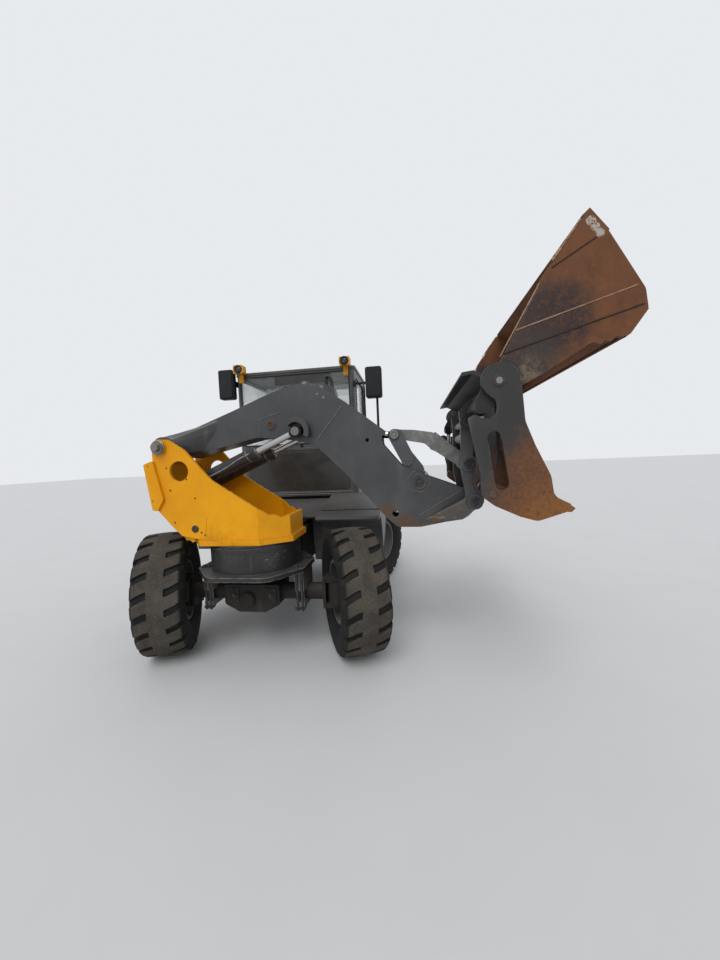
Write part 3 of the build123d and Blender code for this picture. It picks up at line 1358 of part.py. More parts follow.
def mirrors():
    """Outside mirrors on their arms."""
    solids = []
    y = CAB_FRONT_Y + 30
    head_y = (CAB_FRONT_Y - 96, CAB_FRONT_Y - 20)
    for x, z, low_foot in MIRRORS:
        side = 1 if x > 0 else -1
        head = slab(window_rows(x - 95, x + 95, z - 178, z + 178, 26), *head_y)
        back_rows = window_rows(x - 80, x + 80, z - 160, z + 160, 30)
        head = head + slab(back_rows, head_y[0] - 14, head_y[0] + 2)
        wall = side * (CAB_HALF + FIT)
        solid = head
        feet = [z + 20] if low_foot is None else [z + 20, low_foot]
        for foot_z in feet:
            x_low = min(wall, wall + side * 22)
            solid = solid + block(x_low, x_low + 22, y - 26, y + 26, foot_z - 34, foot_z + 34)
        if low_foot is None:
            arm_end = (wall + side * 40, head_y[1] - 8, z + 20)
            solid = solid + rod((wall + side * 12, y, z + 20), arm_end, 14)
        else:
            pole_x = x + 30
            points = [
                (wall + 12, y, z + 20),
                (pole_x, y - 42, z + 20),
                (pole_x, y - 42, low_foot),
                (wall + 12, y, low_foot),
            ]
            line = FilletPolyline(*points, radius=40)
            start = Plane(origin=points[0], z_dir=(pole_x - wall - 12, -42, 0))
            solid = solid + sweep(start * Circle(14), path=line)
        solids.append(solid)
    return solids


PIECES = [
    ("frame", frame),
    ("turret", turret),
    ("front_axle_clamps", axle_clamps),
    ("console", console),
    ("console_cover", console_cover),
    ("boom", boom),
    ("rocker", rocker),
    ("tilt_link", link),
    ("quick_coupler", coupler),
    ("bucket_back", bucket_back),
    ("bucket_jaw", clam),
    ("cab_shell", cab_shell),
    ("cab_roof", cab_roof),
    ("cab_glass", cab_glass),
    ("cab_door", door),
    ("cab_door_glass", door_glass),
    ("fenders", fenders),
    ("step_boxes", steps),
    ("engine_hood", hood),
    ("counterweight", counterweight),
    ("engine_block", engine),
    ("seat", seat),
    ("cab_controls", controls),
    ("lamps", lamps),
    ("mirrors", mirrors),
]

for piece_name, make in PIECES:
    save(make(), piece_name)
save(axle(0), "front_axle")
save(axle(WHEELBASE), "rear_axle")
wheels()
lift_cylinders()
tilt_cylinder()
clam_cylinders()
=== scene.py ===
"""Looks of the swing-boom wheel loader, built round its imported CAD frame.

Metres, in the frame of the CAD: the machine faces -Y, its left side is +X and +Z is up.
"""
import json
import math
import random

import bmesh
import bpy
from mathutils import Matrix, Vector


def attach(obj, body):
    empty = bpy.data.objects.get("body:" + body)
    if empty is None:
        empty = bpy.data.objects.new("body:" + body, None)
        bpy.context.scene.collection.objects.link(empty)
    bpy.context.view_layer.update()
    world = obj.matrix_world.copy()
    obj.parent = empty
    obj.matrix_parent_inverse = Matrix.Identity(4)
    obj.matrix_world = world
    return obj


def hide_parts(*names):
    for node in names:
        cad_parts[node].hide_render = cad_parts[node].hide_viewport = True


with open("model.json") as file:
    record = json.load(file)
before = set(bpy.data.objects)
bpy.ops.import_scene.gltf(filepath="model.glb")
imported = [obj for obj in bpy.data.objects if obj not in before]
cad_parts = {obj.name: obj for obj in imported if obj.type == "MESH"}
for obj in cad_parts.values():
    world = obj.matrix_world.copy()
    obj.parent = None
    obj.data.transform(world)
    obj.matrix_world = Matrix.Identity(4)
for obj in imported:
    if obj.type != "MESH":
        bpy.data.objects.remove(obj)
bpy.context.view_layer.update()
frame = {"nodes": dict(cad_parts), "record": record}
random.seed(7)

# Camera, solved from the photograph (720 x 960 pixels)
CAMERA_PLACE = (1.381, -3.009, 1.677)
CAMERA_YAW = math.radians(-8.137)
CAMERA_PITCH = math.radians(-3.423)
CAMERA_ROLL = math.radians(-2.478)
FOCAL_PX = 359.76
PHOTO_HEIGHT_PX = 960
SENSOR = 36

# Sizes shared with the CAD
TYRE_R = 0.538
KINGPIN_X = 0.73
WHEEL_OFFSET = 0.12
WHEELBASE = 2.0
STEER_REST = math.radians(23.5)
# rows: x, z and radius of the painted eyes at the rods' ends
ROD_EYES = [(0.474, 1.916, 0.058), (1.258, 1.856, 0.06), (1.781, 1.926, 0.044)]
# rows: name, side, place along the machine, steering angle
WHEELS = [
    ("front_left", 1, 0, STEER_REST),
    ("front_right", -1, 0, STEER_REST),
    ("rear_left", 1, WHEELBASE, -STEER_REST),
    ("rear_right", -1, WHEELBASE, -STEER_REST),
]
SIDES = (-1, 1)

# Colours, linear
CHARCOAL = (0.04, 0.0405, 0.042)
CHARCOAL_LIGHT = (0.068, 0.068, 0.069)
# cab and fender grey, lighter than CHARCOAL: the cab's paint, and partly a painted highlight of the lit
# fender tops
CAB_GREY = (0.057, 0.0575, 0.059)
CAB_GREY_LIGHT = (0.098, 0.098, 0.099)
BLACK = (0.014, 0.014, 0.015)
BLACK_LIGHT = (0.026, 0.026, 0.027)
YELLOW = (0.8, 0.355, 0.004)
YELLOW_DEEP = (0.68, 0.275, 0.003)
YELLOW_GRIME = (0.42, 0.22, 0.04)
RUST = (0.15, 0.058, 0.023)
RUST_ORANGE = (0.225, 0.092, 0.03)
RUST_DARK = (0.05, 0.025, 0.016)
RUST_GREY = (0.04, 0.034, 0.031)
RUST_PURPLE = (0.034, 0.021, 0.021)
DUST = (0.2, 0.175, 0.15)
STEEL = (0.2, 0.19, 0.18)
RUBBER = (0.012, 0.012, 0.012)
TREAD_DUST = (0.09, 0.077, 0.06)
RIM_GREY = (0.075, 0.08, 0.09)
RIM_GREY_DARK = (0.05, 0.052, 0.056)


def put(socket, value):
    """Link a socket, or set its number, vector or colour."""
    if isinstance(value, bpy.types.NodeSocket):
        socket.id_data.links.new(value, socket)
    else:
        socket.default_value = (*value, 1) if socket.type == "RGBA" else value


def add_node(tree, kind, *inputs, operation=None):
    """A new node; inputs are pairs of a socket's name or number and what goes in."""
    made = tree.nodes.new("ShaderNode" + kind)
    if operation:
        made.operation = operation
    for name, value in inputs:
        put(made.inputs[name], value)
    return made


class Surface:
    """A node material, built from masks that are laid over a base colour."""

    def __init__(self, name, base, rough, metallic=0.0):
        self.material = bpy.data.materials.new(name)
        self.material.use_nodes = True
        self.tree = self.material.node_tree
        self.shader = self.tree.nodes["Principled BSDF"]
        self.shader.inputs["Metallic"].default_value = metallic
        self.places = self.node("TexCoord")
        self.coord = self.places.outputs["Object"]
        self.colour = base
        self.rough = rough
        self.height = None

    def node(self, kind, *inputs, operation=None):
        return add_node(self.tree, kind, *inputs, operation=operation)

    def noise(self, scale, detail, rough, stretch=None, distortion=0.0):
        """Noise from 0 to 1; scale is in waves per metre, stretch scales the three axes."""
        source = self.coord
        if stretch:
            source = self.node("Mapping", ("Vector", source), ("Scale", stretch)).outputs["Vector"]
        return self.node("TexNoise", ("Scale", scale), ("Detail", detail), ("Roughness", rough),
                         ("Distortion", distortion), ("Vector", source)).outputs["Fac"]

    def spread(self, source, low, high, to_low=0.0, to_high=1.0):
        """Source stretched so that low becomes to_low and high becomes to_high, clamped."""
        node = self.node("MapRange", ("Value", source), ("From Min", low), ("From Max", high),
                         ("To Min", to_low), ("To Max", to_high))
        node.interpolation_type = "SMOOTHSTEP"
        return node.outputs["Result"]

    def patches(self, scale, detail, rough, low, high, most=1.0, least=0.0, stretch=None, distortion=0.0):
        """Noise spread to patches: least where it is below low, most where it is above high."""
        return self.spread(self.noise(scale, detail, rough, stretch, distortion), low, high, least, most)

    def beyond(self, normal, start, soft):
        """0 up to a plane through start, 1 from soft metres beyond it."""
        return self.spread(self.along(normal, start), 0.0, soft)

    def maths(self, operation, first, second):
        return self.node("Math", (0, first), (1, second), operation=operation).outputs[0]

    def times(self, first, second):
        return self.maths("MULTIPLY", first, second)

    def plus(self, first, second):
        return self.maths("ADD", first, second)

    def larger(self, first, second):
        return self.maths("MAXIMUM", first, second)

    def vectors(self, operation, first, second, output="Value"):
        return self.node("VectorMath", (0, first), (1, second), operation=operation).outputs[output]

    def along(self, normal, start):
        """Distance in metres beyond a plane through start, in object coordinates."""
        direction = Vector(normal).normalized()
        reach = self.vectors("DOT_PRODUCT", self.coord, direction)
        return self.maths("SUBTRACT", reach, direction.dot(Vector(start)))

    def near(self, point, radius, soft, source=None):
        """1 inside a ball round point, falling to 0 at its radius."""
        reach = self.vectors("DISTANCE", source or self.coord, point)
        return self.spread(reach, radius * soft, radius, 1.0, 0)

    def near_pin(self, x, z, radius, soft):
        """1 inside a round bar along Y through (x, z), falling to 0 at its radius."""
        return self.near((x, 0, z), radius, soft, self.vectors("MULTIPLY", self.coord, (1, 0, 1), "Vector"))

    def upward(self, low=0.35, high=0.95):
        """1 where the surface faces up."""
        split = self.node("SeparateXYZ", (0, self.places.outputs["Normal"]))
        return self.spread(split.outputs["Z"], low, high)

    def rounded_normal(self, radius):
        bevel = self.node("Bevel", ("Radius", radius))
        bevel.samples = 4
        return bevel.outputs["Normal"]

    def edges(self, radius=0.006, low=0.02, high=0.25):
        """1 on sharp edges, from a rounded normal."""
        flat = self.node("NewGeometry").outputs["Normal"]
        same = self.vectors("DOT_PRODUCT", self.rounded_normal(radius), flat)
        return self.spread(self.maths("SUBTRACT", 1.0, same), low, high)

    def attribute(self, name):
        """A number that the mesh stores at its points."""
        node = self.node("Attribute")
        node.attribute_name = name
        return node.outputs["Fac"]

    def lay(self, mask, colour, rough=None):
        """Lay a colour over what is there, where mask is 1."""
        mix = self.tree.nodes.new("ShaderNodeMix")
        mix.data_type = "RGBA"
        for number, value in ((0, mask), (6, self.colour), (7, colour)):
            put(mix.inputs[number], value)
        self.colour = mix.outputs[2]
        if rough is not None:
            self.rough = self.node("Mix", (0, mask), (2, self.rough), (3, rough)).outputs[0]

    def bump(self, source, depth):
        """Add a height of depth metres where source is 1."""
        part = self.times(source, depth)
        self.height = part if self.height is None else self.plus(self.height, part)

    def done(self, round_edges=0.0, coat=0.0, gloss=0.5):
        """Wire everything to the shader and return the material."""
        for name, value in (
            ("Specular IOR Level", gloss), ("Base Color", self.colour), ("Roughness", self.rough),
            ("Coat Weight", coat), ("Coat Roughness", 0.25),
        ):
            put(self.shader.inputs[name], value)
        normal = self.rounded_normal(round_edges) if round_edges else None
        if self.height is not None:
            bump = self.node("Bump", ("Strength", 1.0), ("Distance", 1.0), ("Height", self.height))
            if normal is not None:
                put(bump.inputs["Normal"], normal)
            normal = bump.outputs["Normal"]
        if normal is not None:
            put(self.shader.inputs["Normal"], normal)
        return self.material


def worn_paint(name, base, second, rough, chip, dust, splash_top=1.1, splash=0.75, grime=DUST):
    """Machine paint with tone changes, chipped edges, scratches, dust on top and splashes below."""
    paint = Surface(name, base, rough)
    paint.lay(paint.patches(2.2, 5, 0.6, 0.35, 0.75), second)
    paint.lay(paint.patches(9, 6, 0.65, 0.55, 0.8, 0.35, stretch=(1, 1, 0.25)), grime, 0.75)
    scratches = paint.patches(60, 2, 0.5, 0.74, 0.78, 0.35, stretch=(1, 1, 0.06), distortion=0.4)
    paint.lay(scratches, STEEL, 0.5)
    edge = paint.times(paint.edges(), paint.patches(38, 4, 0.7, 0.42, 0.62))
    paint.lay(edge, chip, 0.7)
    spots = paint.patches(23, 6, 0.72, 0.7, 0.735)
    paint.lay(spots, chip, 0.75)
    cover = paint.times(paint.upward(), paint.patches(7, 6, 0.7, 0.25, 0.75, 1.0, 0.3))
    paint.lay(paint.times(cover, dust), grime, 0.85)
    low = paint.along((0, 0, -1), (0, 0, splash_top))
    paint.lay(paint.spread(paint.plus(low, paint.noise(6, 6, 0.7)), 0.55, 1.35, 0.0, splash), grime, 0.9)
    paint.bump(paint.noise(260, 3, 0.6), 0.00025)
    paint.bump(paint.maths("SUBTRACT", 1.0, paint.larger(edge, spots)), 0.0004)
    return paint


def chassis_paint():
    # near-black base: dark paint, and partly painted shade of the shadowed underside
    paint = worn_paint("chassis_paint", (0.007, 0.0068, 0.0066), (0.012, 0.0114, 0.0108), 0.55, RUST_DARK,
                       dust=0.16, splash=0.12)
    paint.lay(paint.patches(11, 7, 0.72, 0.55, 0.75, 0.5), (0.022, 0.018, 0.015), 0.7)
    paint.bump(paint.noise(60, 5, 0.7), 0.0006)
    return paint.done(0.004, gloss=0.2)


def yellow_paint():
    paint = worn_paint("yellow_paint", YELLOW, YELLOW_DEEP, 0.34, RUST_DARK, dust=0.25, splash_top=0.75,
                       grime=YELLOW_GRIME)
    low = paint.beyond((0, 0, -1), (0, 0, 1.3), 0.28)
    dirt = paint.patches(7, 7, 0.72, 0.45, 0.75, 0.7, stretch=(1, 1, 0.5))
    paint.lay(paint.times(low, dirt), (0.36, 0.155, 0.006), 0.6)
    paint.lay(paint.times(low, paint.patches(75, 5, 0.75, 0.66, 0.72, 0.8)), (0.13, 0.055, 0.015), 0.8)
    return paint.done(0.004, coat=0.06, gloss=0.18)


def boom_paint():
    """Charcoal paint, worn brown at the boom's knee and a lighter grey-brown on the nose housing, partly worn
    paint and partly a painted sheen.
    """
    # the up-facing dust is dust, and also a painted sheen on the boom's top faces
    paint = worn_paint("boom_paint", CHARCOAL, CHARCOAL_LIGHT, 0.4, STEEL, dust=0.4)
    ragged = paint.times(paint.maths("SUBTRACT", paint.noise(13, 9, 0.78), 0.5), 2.2)
    knee = paint.near((1.19, -0.13, 1.25), 0.17, 0)
    for x, z, radius in ((1.31, 1.12, 0.25), (1.45, 1.08, 0.13)):
        knee = paint.larger(knee, paint.near((x, -0.13, z), radius, 0))
    mask = paint.times(paint.spread(paint.plus(knee, ragged), 0.42, 0.86), paint.spread(knee, 0.02, 0.3))
    paint.lay(paint.times(mask, 0.85), (0.09, 0.05, 0.028), 0.8)
    paint.lay(paint.times(mask, paint.patches(30, 7, 0.75, 0.5, 0.66)), (0.13, 0.062, 0.029), 0.8)
    nose = paint.beyond((0, -1, 0), (0, -0.133, 0), 0.004)
    for normal, start in (((1, 0, 0), (1.42, 0, 0)), ((0, 0, -1), (0, 0, 1.46))):
        nose = paint.times(nose, paint.beyond(normal, start, 0.01))
    # lighter grey-brown of the nose housing: worn paint with a painted sheen
    paint.lay(paint.times(nose, 0.85), (0.095, 0.082, 0.068), 0.5)
    tip = paint.near((1.42, -0.14, 1.14), 0.34, 0)
    brown = paint.spread(paint.plus(tip, paint.noise(16, 9, 0.78)), 0.6, 1.4)
    paint.lay(paint.times(nose, brown), (0.115, 0.062, 0.032), 0.75)
    scuffs = paint.patches(34, 5, 0.6, 0.56, 0.72, stretch=(0.25, 1, 1), distortion=0.6)
    paint.lay(paint.times(nose, scuffs), (0.19, 0.165, 0.14), 0.45)
    paint.lay(paint.near((0.725, 0, 2.345), 0.085, 0.85), RUBBER, 0.6)
    return paint.done(0.005, coat=0.12, gloss=0.45)


def bucket_paint():
    """Charcoal above, worn through to brown rust towards the lip."""
    paint = worn_paint("bucket_paint", (0.034, 0.0335, 0.033), (0.052, 0.051, 0.05), 0.5, STEEL, dust=0.25,
                       splash_top=0.6)
    reach = paint.along((0.806, 0, -0.591), (1.8, 0, 1.47))
    for scale, detail, rough, share in ((5, 5, 0.6, 0.3), (38, 8, 0.8, 0.42)):
        wave = paint.maths("SUBTRACT", paint.noise(scale, detail, rough), 0.5)
        reach = paint.plus(reach, paint.times(wave, share))
    worn = paint.spread(reach, -0.09, 0.1)
    paint.lay(worn, (0.13, 0.058, 0.03), 0.78)
    paint.lay(paint.spread(reach, 0.05, 0.34), RUST_ORANGE, 0.78)
    paint.lay(paint.times(worn, paint.patches(46, 8, 0.8, 0.44, 0.68, 0.62)), RUST_DARK, 0.8)
    paint.lay(paint.times(worn, paint.patches(95, 6, 0.8, 0.56, 0.7, 0.55)), (0.34, 0.17, 0.07), 0.8)
    paint.bump(paint.times(worn, paint.noise(70, 6, 0.75)), 0.0009)
    return paint.done(0.003, gloss=0.25)


def rusty_steel():
    """Bare bucket steel: brown rust with a purple-black field, a grey one at the hinge and a scraped tip."""
    rust = Surface("rusty_steel", RUST, 0.72)
    rust.lay(rust.patches(2.6, 8, 0.7, 0.4, 0.66), (0.125, 0.05, 0.022))
    rust.lay(rust.patches(5.5, 8, 0.74, 0.5, 0.74, 0.75, distortion=0.6), RUST_DARK)
    rust.lay(rust.patches(16, 8, 0.78, 0.5, 0.72, 0.5), RUST_ORANGE)
    through = rust.patches(34, 8, 0.8, 0.46, 0.68, 0.25, 1.0)
    for x, z, radius, colour in ((2.16, 2.38, 0.34, RUST_PURPLE), (1.99, 2.16, 0.36, RUST_GREY)):
        field = rust.plus(rust.near_pin(x, z, radius, 0), rust.noise(9, 9, 0.78))
        rust.lay(rust.times(rust.spread(field, 0.62, 1.22), through), colour, 0.6)
    tan = rust.times(rust.near_pin(2.03, 2.1, 0.13, 0), rust.patches(24, 6, 0.7, 0.4, 0.62))
    rust.lay(tan, (0.16, 0.125, 0.085), 0.6)
    rust.lay(rust.patches(70, 7, 0.82, 0.54, 0.7, 0.55), (0.25, 0.115, 0.045))
    rust.lay(rust.patches(110, 5, 0.75, 0.6, 0.72, 0.6), (0.026, 0.016, 0.012))
    scraped = rust.near((2.34, -0.94, 2.846), 0.052, 0)
    for x, z in ((2.361, 2.816), (2.384, 2.782)):
        scraped = rust.larger(scraped, rust.near((x, -0.94, z), 0.048, 0))
    bare = rust.spread(rust.plus(scraped, rust.noise(38, 7, 0.9)), 0.92, 1.06)
    rust.lay(rust.times(bare, rust.patches(90, 4, 0.8, 0.4, 0.5)), (0.4, 0.37, 0.31), 0.6)
    lever = rust.near_pin(1.79, 1.93, 0.165, 0.75)
    rust.lay(lever, (0.026, 0.025, 0.024), 0.55)
    edge = rust.times(rust.edges(0.008), rust.patches(20, 4, 0.7, 0.3, 0.6))
    rust.lay(edge, (0.1, 0.085, 0.075), 0.5)
    rust.bump(rust.noise(36, 8, 0.75), 0.0016)
    rust.bump(rust.noise(5, 3, 0.5), 0.004)
    return rust.done(0.003, gloss=0.25)


def worn_steel():
    """Bright worn link, painted charcoal at its end by the rocker."""
    steel = Surface("worn_steel", (0.165, 0.161, 0.155), 0.48, metallic=0.35)
    steel.lay(steel.patches(14, 6, 0.7, 0.4, 0.7), (0.27, 0.262, 0.25), 0.42)
    steel.lay(steel.along((-1, 0, 0.1), (1.44, 0, 1.84)), CHARCOAL, 0.45)
    steel.lay(steel.patches(42, 5, 0.7, 0.6, 0.72, 0.7), RUST_DARK, 0.75)
    steel.bump(steel.noise(90, 4, 0.7), 0.0004)
    return steel.done(0.003)


def chrome():
    """Polished rods with painted eyes at their ends."""
    metal = Surface("chrome", (0.5, 0.5, 0.51), 0.16, metallic=1.0)
    metal.lay(metal.patches(20, 4, 0.6, 0.5, 0.8, 0.35), (0.3, 0.29, 0.28), 0.35)
    for x, z, radius in ROD_EYES:
        metal.lay(metal.near_pin(x, z, radius, 0.97), (0.035, 0.035, 0.037), 0.55)
    metal.bump(metal.noise(400, 2, 0.5), 0.00005)
    return metal.done()


def glass():
    pane = Surface("cab_pane", (0.55, 0.6, 0.59), 0.06)
    pane.lay(pane.patches(5, 6, 0.7, 0.45, 0.85, 0.5), (0.45, 0.45, 0.42), 0.35)
    for name, value in (("Transmission Weight", 0.85), ("Alpha", 0.42), ("IOR", 1.45)):
        pane.shader.inputs[name].default_value = value
    return pane.done()


def tyre_rubber():
    """Black sidewalls, grey-brown dusty running surface."""
    rubber = Surface("tyre_rubber", RUBBER, 0.75)
    rubber.lay(rubber.patches(7, 6, 0.7, 0.42, 0.75, 0.5), (0.04, 0.035, 0.03), 0.85)
    worn = rubber.spread(rubber.attribute("reach"), TYRE_R - 0.0175, TYRE_R - 0.01)
    cracks = rubber.times(rubber.patches(30, 8, 0.8, 0.485, 0.5, distortion=1.5),
                          rubber.patches(30, 8, 0.8, 0.5, 0.515, 0.0, 1.0, distortion=1.5))
    for mask, colour, rough in (
        (rubber.patches(5, 8, 0.72, 0.36, 0.62, 1.0, 0.45), TREAD_DUST, 0.95),
        (rubber.patches(120, 5, 0.75, 0.54, 0.66, 0.75), (0.17, 0.145, 0.115), 0.95),
        (rubber.patches(80, 5, 0.75, 0.54, 0.66, 0.7), (0.034, 0.029, 0.024), 0.9),
        (cracks, (0.024, 0.021, 0.018), 0.9),
    ):
        rubber.lay(rubber.times(worn, mask), colour, rough)
    rubber.bump(rubber.noise(140, 6, 0.7), 0.0012)
    return rubber.done(gloss=0.25)


def drum_paint():
    """Charcoal of the slewing drum, with scratches down to bright metal round its wall."""
    paint = worn_paint("drum_paint", (0.02, 0.0198, 0.02), (0.034, 0.033, 0.033), 0.38, STEEL, dust=0.3,
                       splash_top=0.55)
    band = paint.times(paint.beyond((0, 0, 1), (0, 0, 0.81), 0.03),
                       paint.beyond((0, 0, -1), (0, 0, 0.965), 0.03))
    nicks = paint.patches(42, 2, 0.5, 0.655, 0.675, stretch=(1, 1, 1.5), distortion=2.6)
    fine = paint.patches(120, 3, 0.6, 0.64, 0.68, stretch=(1, 1, 0.4), distortion=1.2)
    marks = paint.times(paint.times(band, paint.patches(6, 3, 0.5, 0.44, 0.58)), paint.larger(nicks, fine))
    paint.lay(paint.times(marks, 0.8), (0.36, 0.35, 0.33), 0.5)
    runs = paint.patches(16, 3, 0.5, 0.62, 0.74, 0.35, stretch=(1, 1, 0.05))
    paint.lay(paint.times(band, runs), (0.12, 0.11, 0.1), 0.6)
    rim = paint.times(paint.beyond((0, 0, -1), (0, 0, 0.792), 0.002), paint.edges(0.01, 0.01, 0.12))
    paint.lay(paint.times(rim, paint.patches(26, 5, 0.7, 0.36, 0.56)), (0.3, 0.29, 0.27), 0.45)
    return paint.done(0.004, coat=0.1, gloss=0.4)


def varied(name, base, second, rough, metallic=0.0, scale=30, grain=0.0003):
    """Material of a small piece: two tones, dust and a fine grain."""
    surface = Surface(name, base, rough, metallic)
    surface.lay(surface.patches(scale, 6, 0.7, 0.4, 0.68), second, min(1.0, rough + 0.12))
    dust = surface.patches(scale * 0.4, 6, 0.7, 0.52, 0.78, 0.35)
    surface.lay(surface.times(dust, surface.upward(0, 0.9)), DUST, 0.85)
    surface.bump(surface.noise(scale * 9, 4, 0.65), grain)
    return surface.done(gloss=0.4)


def grained(name, base, rough, patch, second, second_rough, grain, depth, metallic=0.0, edge=0.0, gloss=0.5):
    """Plain material: patches of a second tone and a fine grain."""
    surface = Surface(name, base, rough, metallic)
    surface.lay(surface.patches(*patch), second, second_rough)
    surface.bump(surface.noise(*grain), depth)
    return surface.done(edge, gloss=gloss)


def add_object(name, data):
    """Object with this data, linked to the scene."""
    made = bpy.data.objects.new(name, data)
    bpy.context.scene.collection.objects.link(made)
    return made


def new_piece(name, body, mesh, material, smooth=False):
    """Object from a mesh, riding on a body."""
    piece = add_object(name, mesh)
    if not mesh.materials:
        mesh.materials.append(material)
    for face in mesh.polygons:
        face.use_smooth = smooth
    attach(piece, body)
    return piece


def finish_mesh(name, mesh, closed=True):
    """Mesh data from a bmesh; closed forms get their faces turned outward."""
    if closed:
        bmesh.ops.recalc_face_normals(mesh, faces=mesh.faces)
    data = bpy.data.meshes.new(name)
    mesh.to_mesh(data)
    mesh.free()
    return data


def bridge(mesh, rings, capped=False):
    """Faces between closed rings of points; a ring of one point closes the form, and so do caps."""
    for low, high in zip(rings, rings[1:]):
        count = max(len(low), len(high))
        for i in range(count):
            after = (i + 1) % count
            if len(high) == 1:
                mesh.faces.new((low[i], low[after], high[0]))
            elif len(low) == 1:
                mesh.faces.new((low[0], high[after], high[i]))
            else:
                mesh.faces.new((low[i], low[after], high[after], high[i]))
    if capped:
        mesh.faces.new(rings[0])
        mesh.faces.new(rings[-1])


def frame_of(axis):
    """Rotation that turns +Z into axis."""
    return Vector((0, 0, 1)).rotation_difference(Vector(axis).normalized()).to_matrix().to_4x4()


def add_prism(mesh, place, axis, radius, height, sides, top_radius=None, turn=0.0):
    """Closed prism or cone standing on place along axis."""
    made = bmesh.ops.create_cone(mesh, cap_ends=True, segments=sides, radius1=radius,
                                 radius2=radius if top_radius is None else top_radius, depth=height)
    move = Matrix.Translation(place) @ frame_of(axis) @ Matrix.Rotation(turn, 4, "Z")
    move = move @ Matrix.Translation((0, 0, height / 2))
    bmesh.ops.transform(mesh, matrix=move, verts=made["verts"])


def bolts(name, body, material, rows):
    """Hex bolts with washers; rows are (place, axis, radius)."""
    mesh = bmesh.new()
    for place, axis, radius in rows:
        direction = Vector(axis).normalized()
        start = Vector(place)
        add_prism(mesh, start, direction, radius * 1.45, radius * 0.25, 20)
        add_prism(mesh, start + direction * radius * 0.25, direction, radius, radius * 0.8, 6,
                  radius * 0.93, random.uniform(0, 1))
    new_piece(name, body, finish_mesh(name, mesh), material)


def add_turned(mesh, start, direction, profile, sides=32):
    """Turned form on start along direction; profile rows are (radius, height), radius 0 closes it."""
    turn = frame_of(direction)
    rings = []
    for radius, height in profile:
        angles = [2 * math.pi * i / sides for i in range(sides if radius else 1)]
        spots = [Vector((radius * math.cos(angle), radius * math.sin(angle), height)) for angle in angles]
        rings.append([mesh.verts.new(Vector(start) + turn @ spot) for spot in spots])
    bridge(mesh, rings)


def turned(name, body, material, rows, sides=32, smooth=False):
    """One piece of turned forms; rows are (start, direction, profile)."""
    mesh = bmesh.new()
    for start, direction, profile in rows:
        add_turned(mesh, start, direction, profile, sides)
    new_piece(name, body, finish_mesh(name, mesh), material, smooth)


RIPPLE_STEP = 0.012
# rows: radius and height, in shares of the cap's radius
CAP_PROFILE = [(0, 0), (1.0, 0), (1.0, 0.18), (0.92, 0.26), (0.64, 0.26), (0.56, 0.18), (0.56, 0.06),
               (0, 0.06)]


def pin_caps(name, body, material, rows):
    """Pin ends: a stepped round cap with a sunk centre and a bolt; rows are (place, axis, radius)."""
    mesh = bmesh.new()
    for place, axis, radius in rows:
        direction = Vector(axis).normalized()
        add_turned(mesh, place, direction, [(share * radius, high * radius) for share, high in CAP_PROFILE])
        add_prism(mesh, Vector(place) + direction * radius * 0.06, direction, radius * 0.34, radius * 0.22, 6)
    new_piece(name, body, finish_mesh(name, mesh), material)


def plates(name, body, material, rows, bevel=0.002):
    """Plates in one piece; rows are (outline in XZ, low y, high y)."""
    mesh = bmesh.new()
    for outline, low, high in rows:
        bridge(mesh, [[mesh.verts.new((x, y, z)) for x, z in outline] for y in (low, high)], capped=True)
    piece = new_piece(name, body, finish_mesh(name, mesh), material)
    if bevel:
        soft = piece.modifiers.new("soft_edges", "BEVEL")
        soft.width = bevel
        soft.segments = 2
        soft.limit_method = "ANGLE"


def arc(u, v, radius, start, end, steps=14):
    """Points of an arc round (u, v), angles in degrees."""
    turns = [math.radians(start + (end - start) * i / steps) for i in range(steps + 1)]
    return [(u + radius * math.cos(turn), v + radius * math.sin(turn)) for turn in turns]


def rounded(low, high, bottom, top, radius):
    """Outline of a rectangle with rounded corners."""
    left, right, under, over = low + radius, high - radius, bottom + radius, top - radius
    corners = [(right, over, 0), (left, over, 90), (left, under, 180), (right, under, 270)]
    return [point for u, v, turn in corners for point in arc(u, v, radius, turn, turn + 90, 5)]


def lines(name, body, material, rows, kind, roundness, closed=False):
    """Round lines in one piece; each row is a list of (point, radius)."""
    curve = bpy.data.curves.new(name, "CURVE")
    curve.dimensions = "3D"
    curve.bevel_depth = 1.0
    curve.bevel_resolution = roundness
    curve.use_fill_caps = True
    curve.resolution_u = 6
    for points in rows:
        spline = curve.splines.new(kind)
        spline.points.add(len(points) - 1)
        for spot, (place, radius) in zip(spline.points, points):
            spot.co = (*place, 1)
            spot.radius = radius
        spline.use_cyclic_u = closed
        if kind == "NURBS":
            spline.order_u = 3
            spline.use_endpoint_u = True
    holder = bpy.data.objects.new(name, curve)
    mesh = bpy.data.meshes.new_from_object(holder)
    bpy.data.objects.remove(holder)
    mesh.materials.clear()
    new_piece(name, body, mesh, material, smooth=True)


def beads(name, body, material, rows, ripple=0.0, closed=False):
    """Weld seams, trim lines and lines of painted highlight and painted shadow, half sunk into the face; rows
    are (points, radius).
    """
    strips = []
    for points, radius in rows:
        line = [Vector(point) for point in points]
        if ripple:
            fine = []
            for start, end in zip(line, line[1:]):
                count = max(1, int((end - start).length / RIPPLE_STEP))
                fine += [start.lerp(end, i / count) for i in range(count)]
            line = fine + [line[-1]]
        strips.append([(place, radius * (1 + random.uniform(-ripple, ripple))) for place in line])
    lines(name, body, material, strips, "POLY", 1, closed)


def pipes(name, body, material, rows):
    """Rigid lines bent round smooth corners; rows are (points, radius)."""
    strips = [[(place, radius) for place in points] for points, radius in rows]
    lines(name, body, material, strips, "NURBS", 3)


def flat_lines(table, y):
    """Bead rows on the planes -y and y; table rows are (points (x, z), radius)."""
    return [([(x, side * y, z) for x, z in points], radius) for side in SIDES for points, radius in table]


def sideways(x, z, y, what):
    """Rows for a cap, bolt or turned form that looks outward at -y and at y."""
    return [((x, side * y, z), (0, side, 0), what) for side in SIDES]


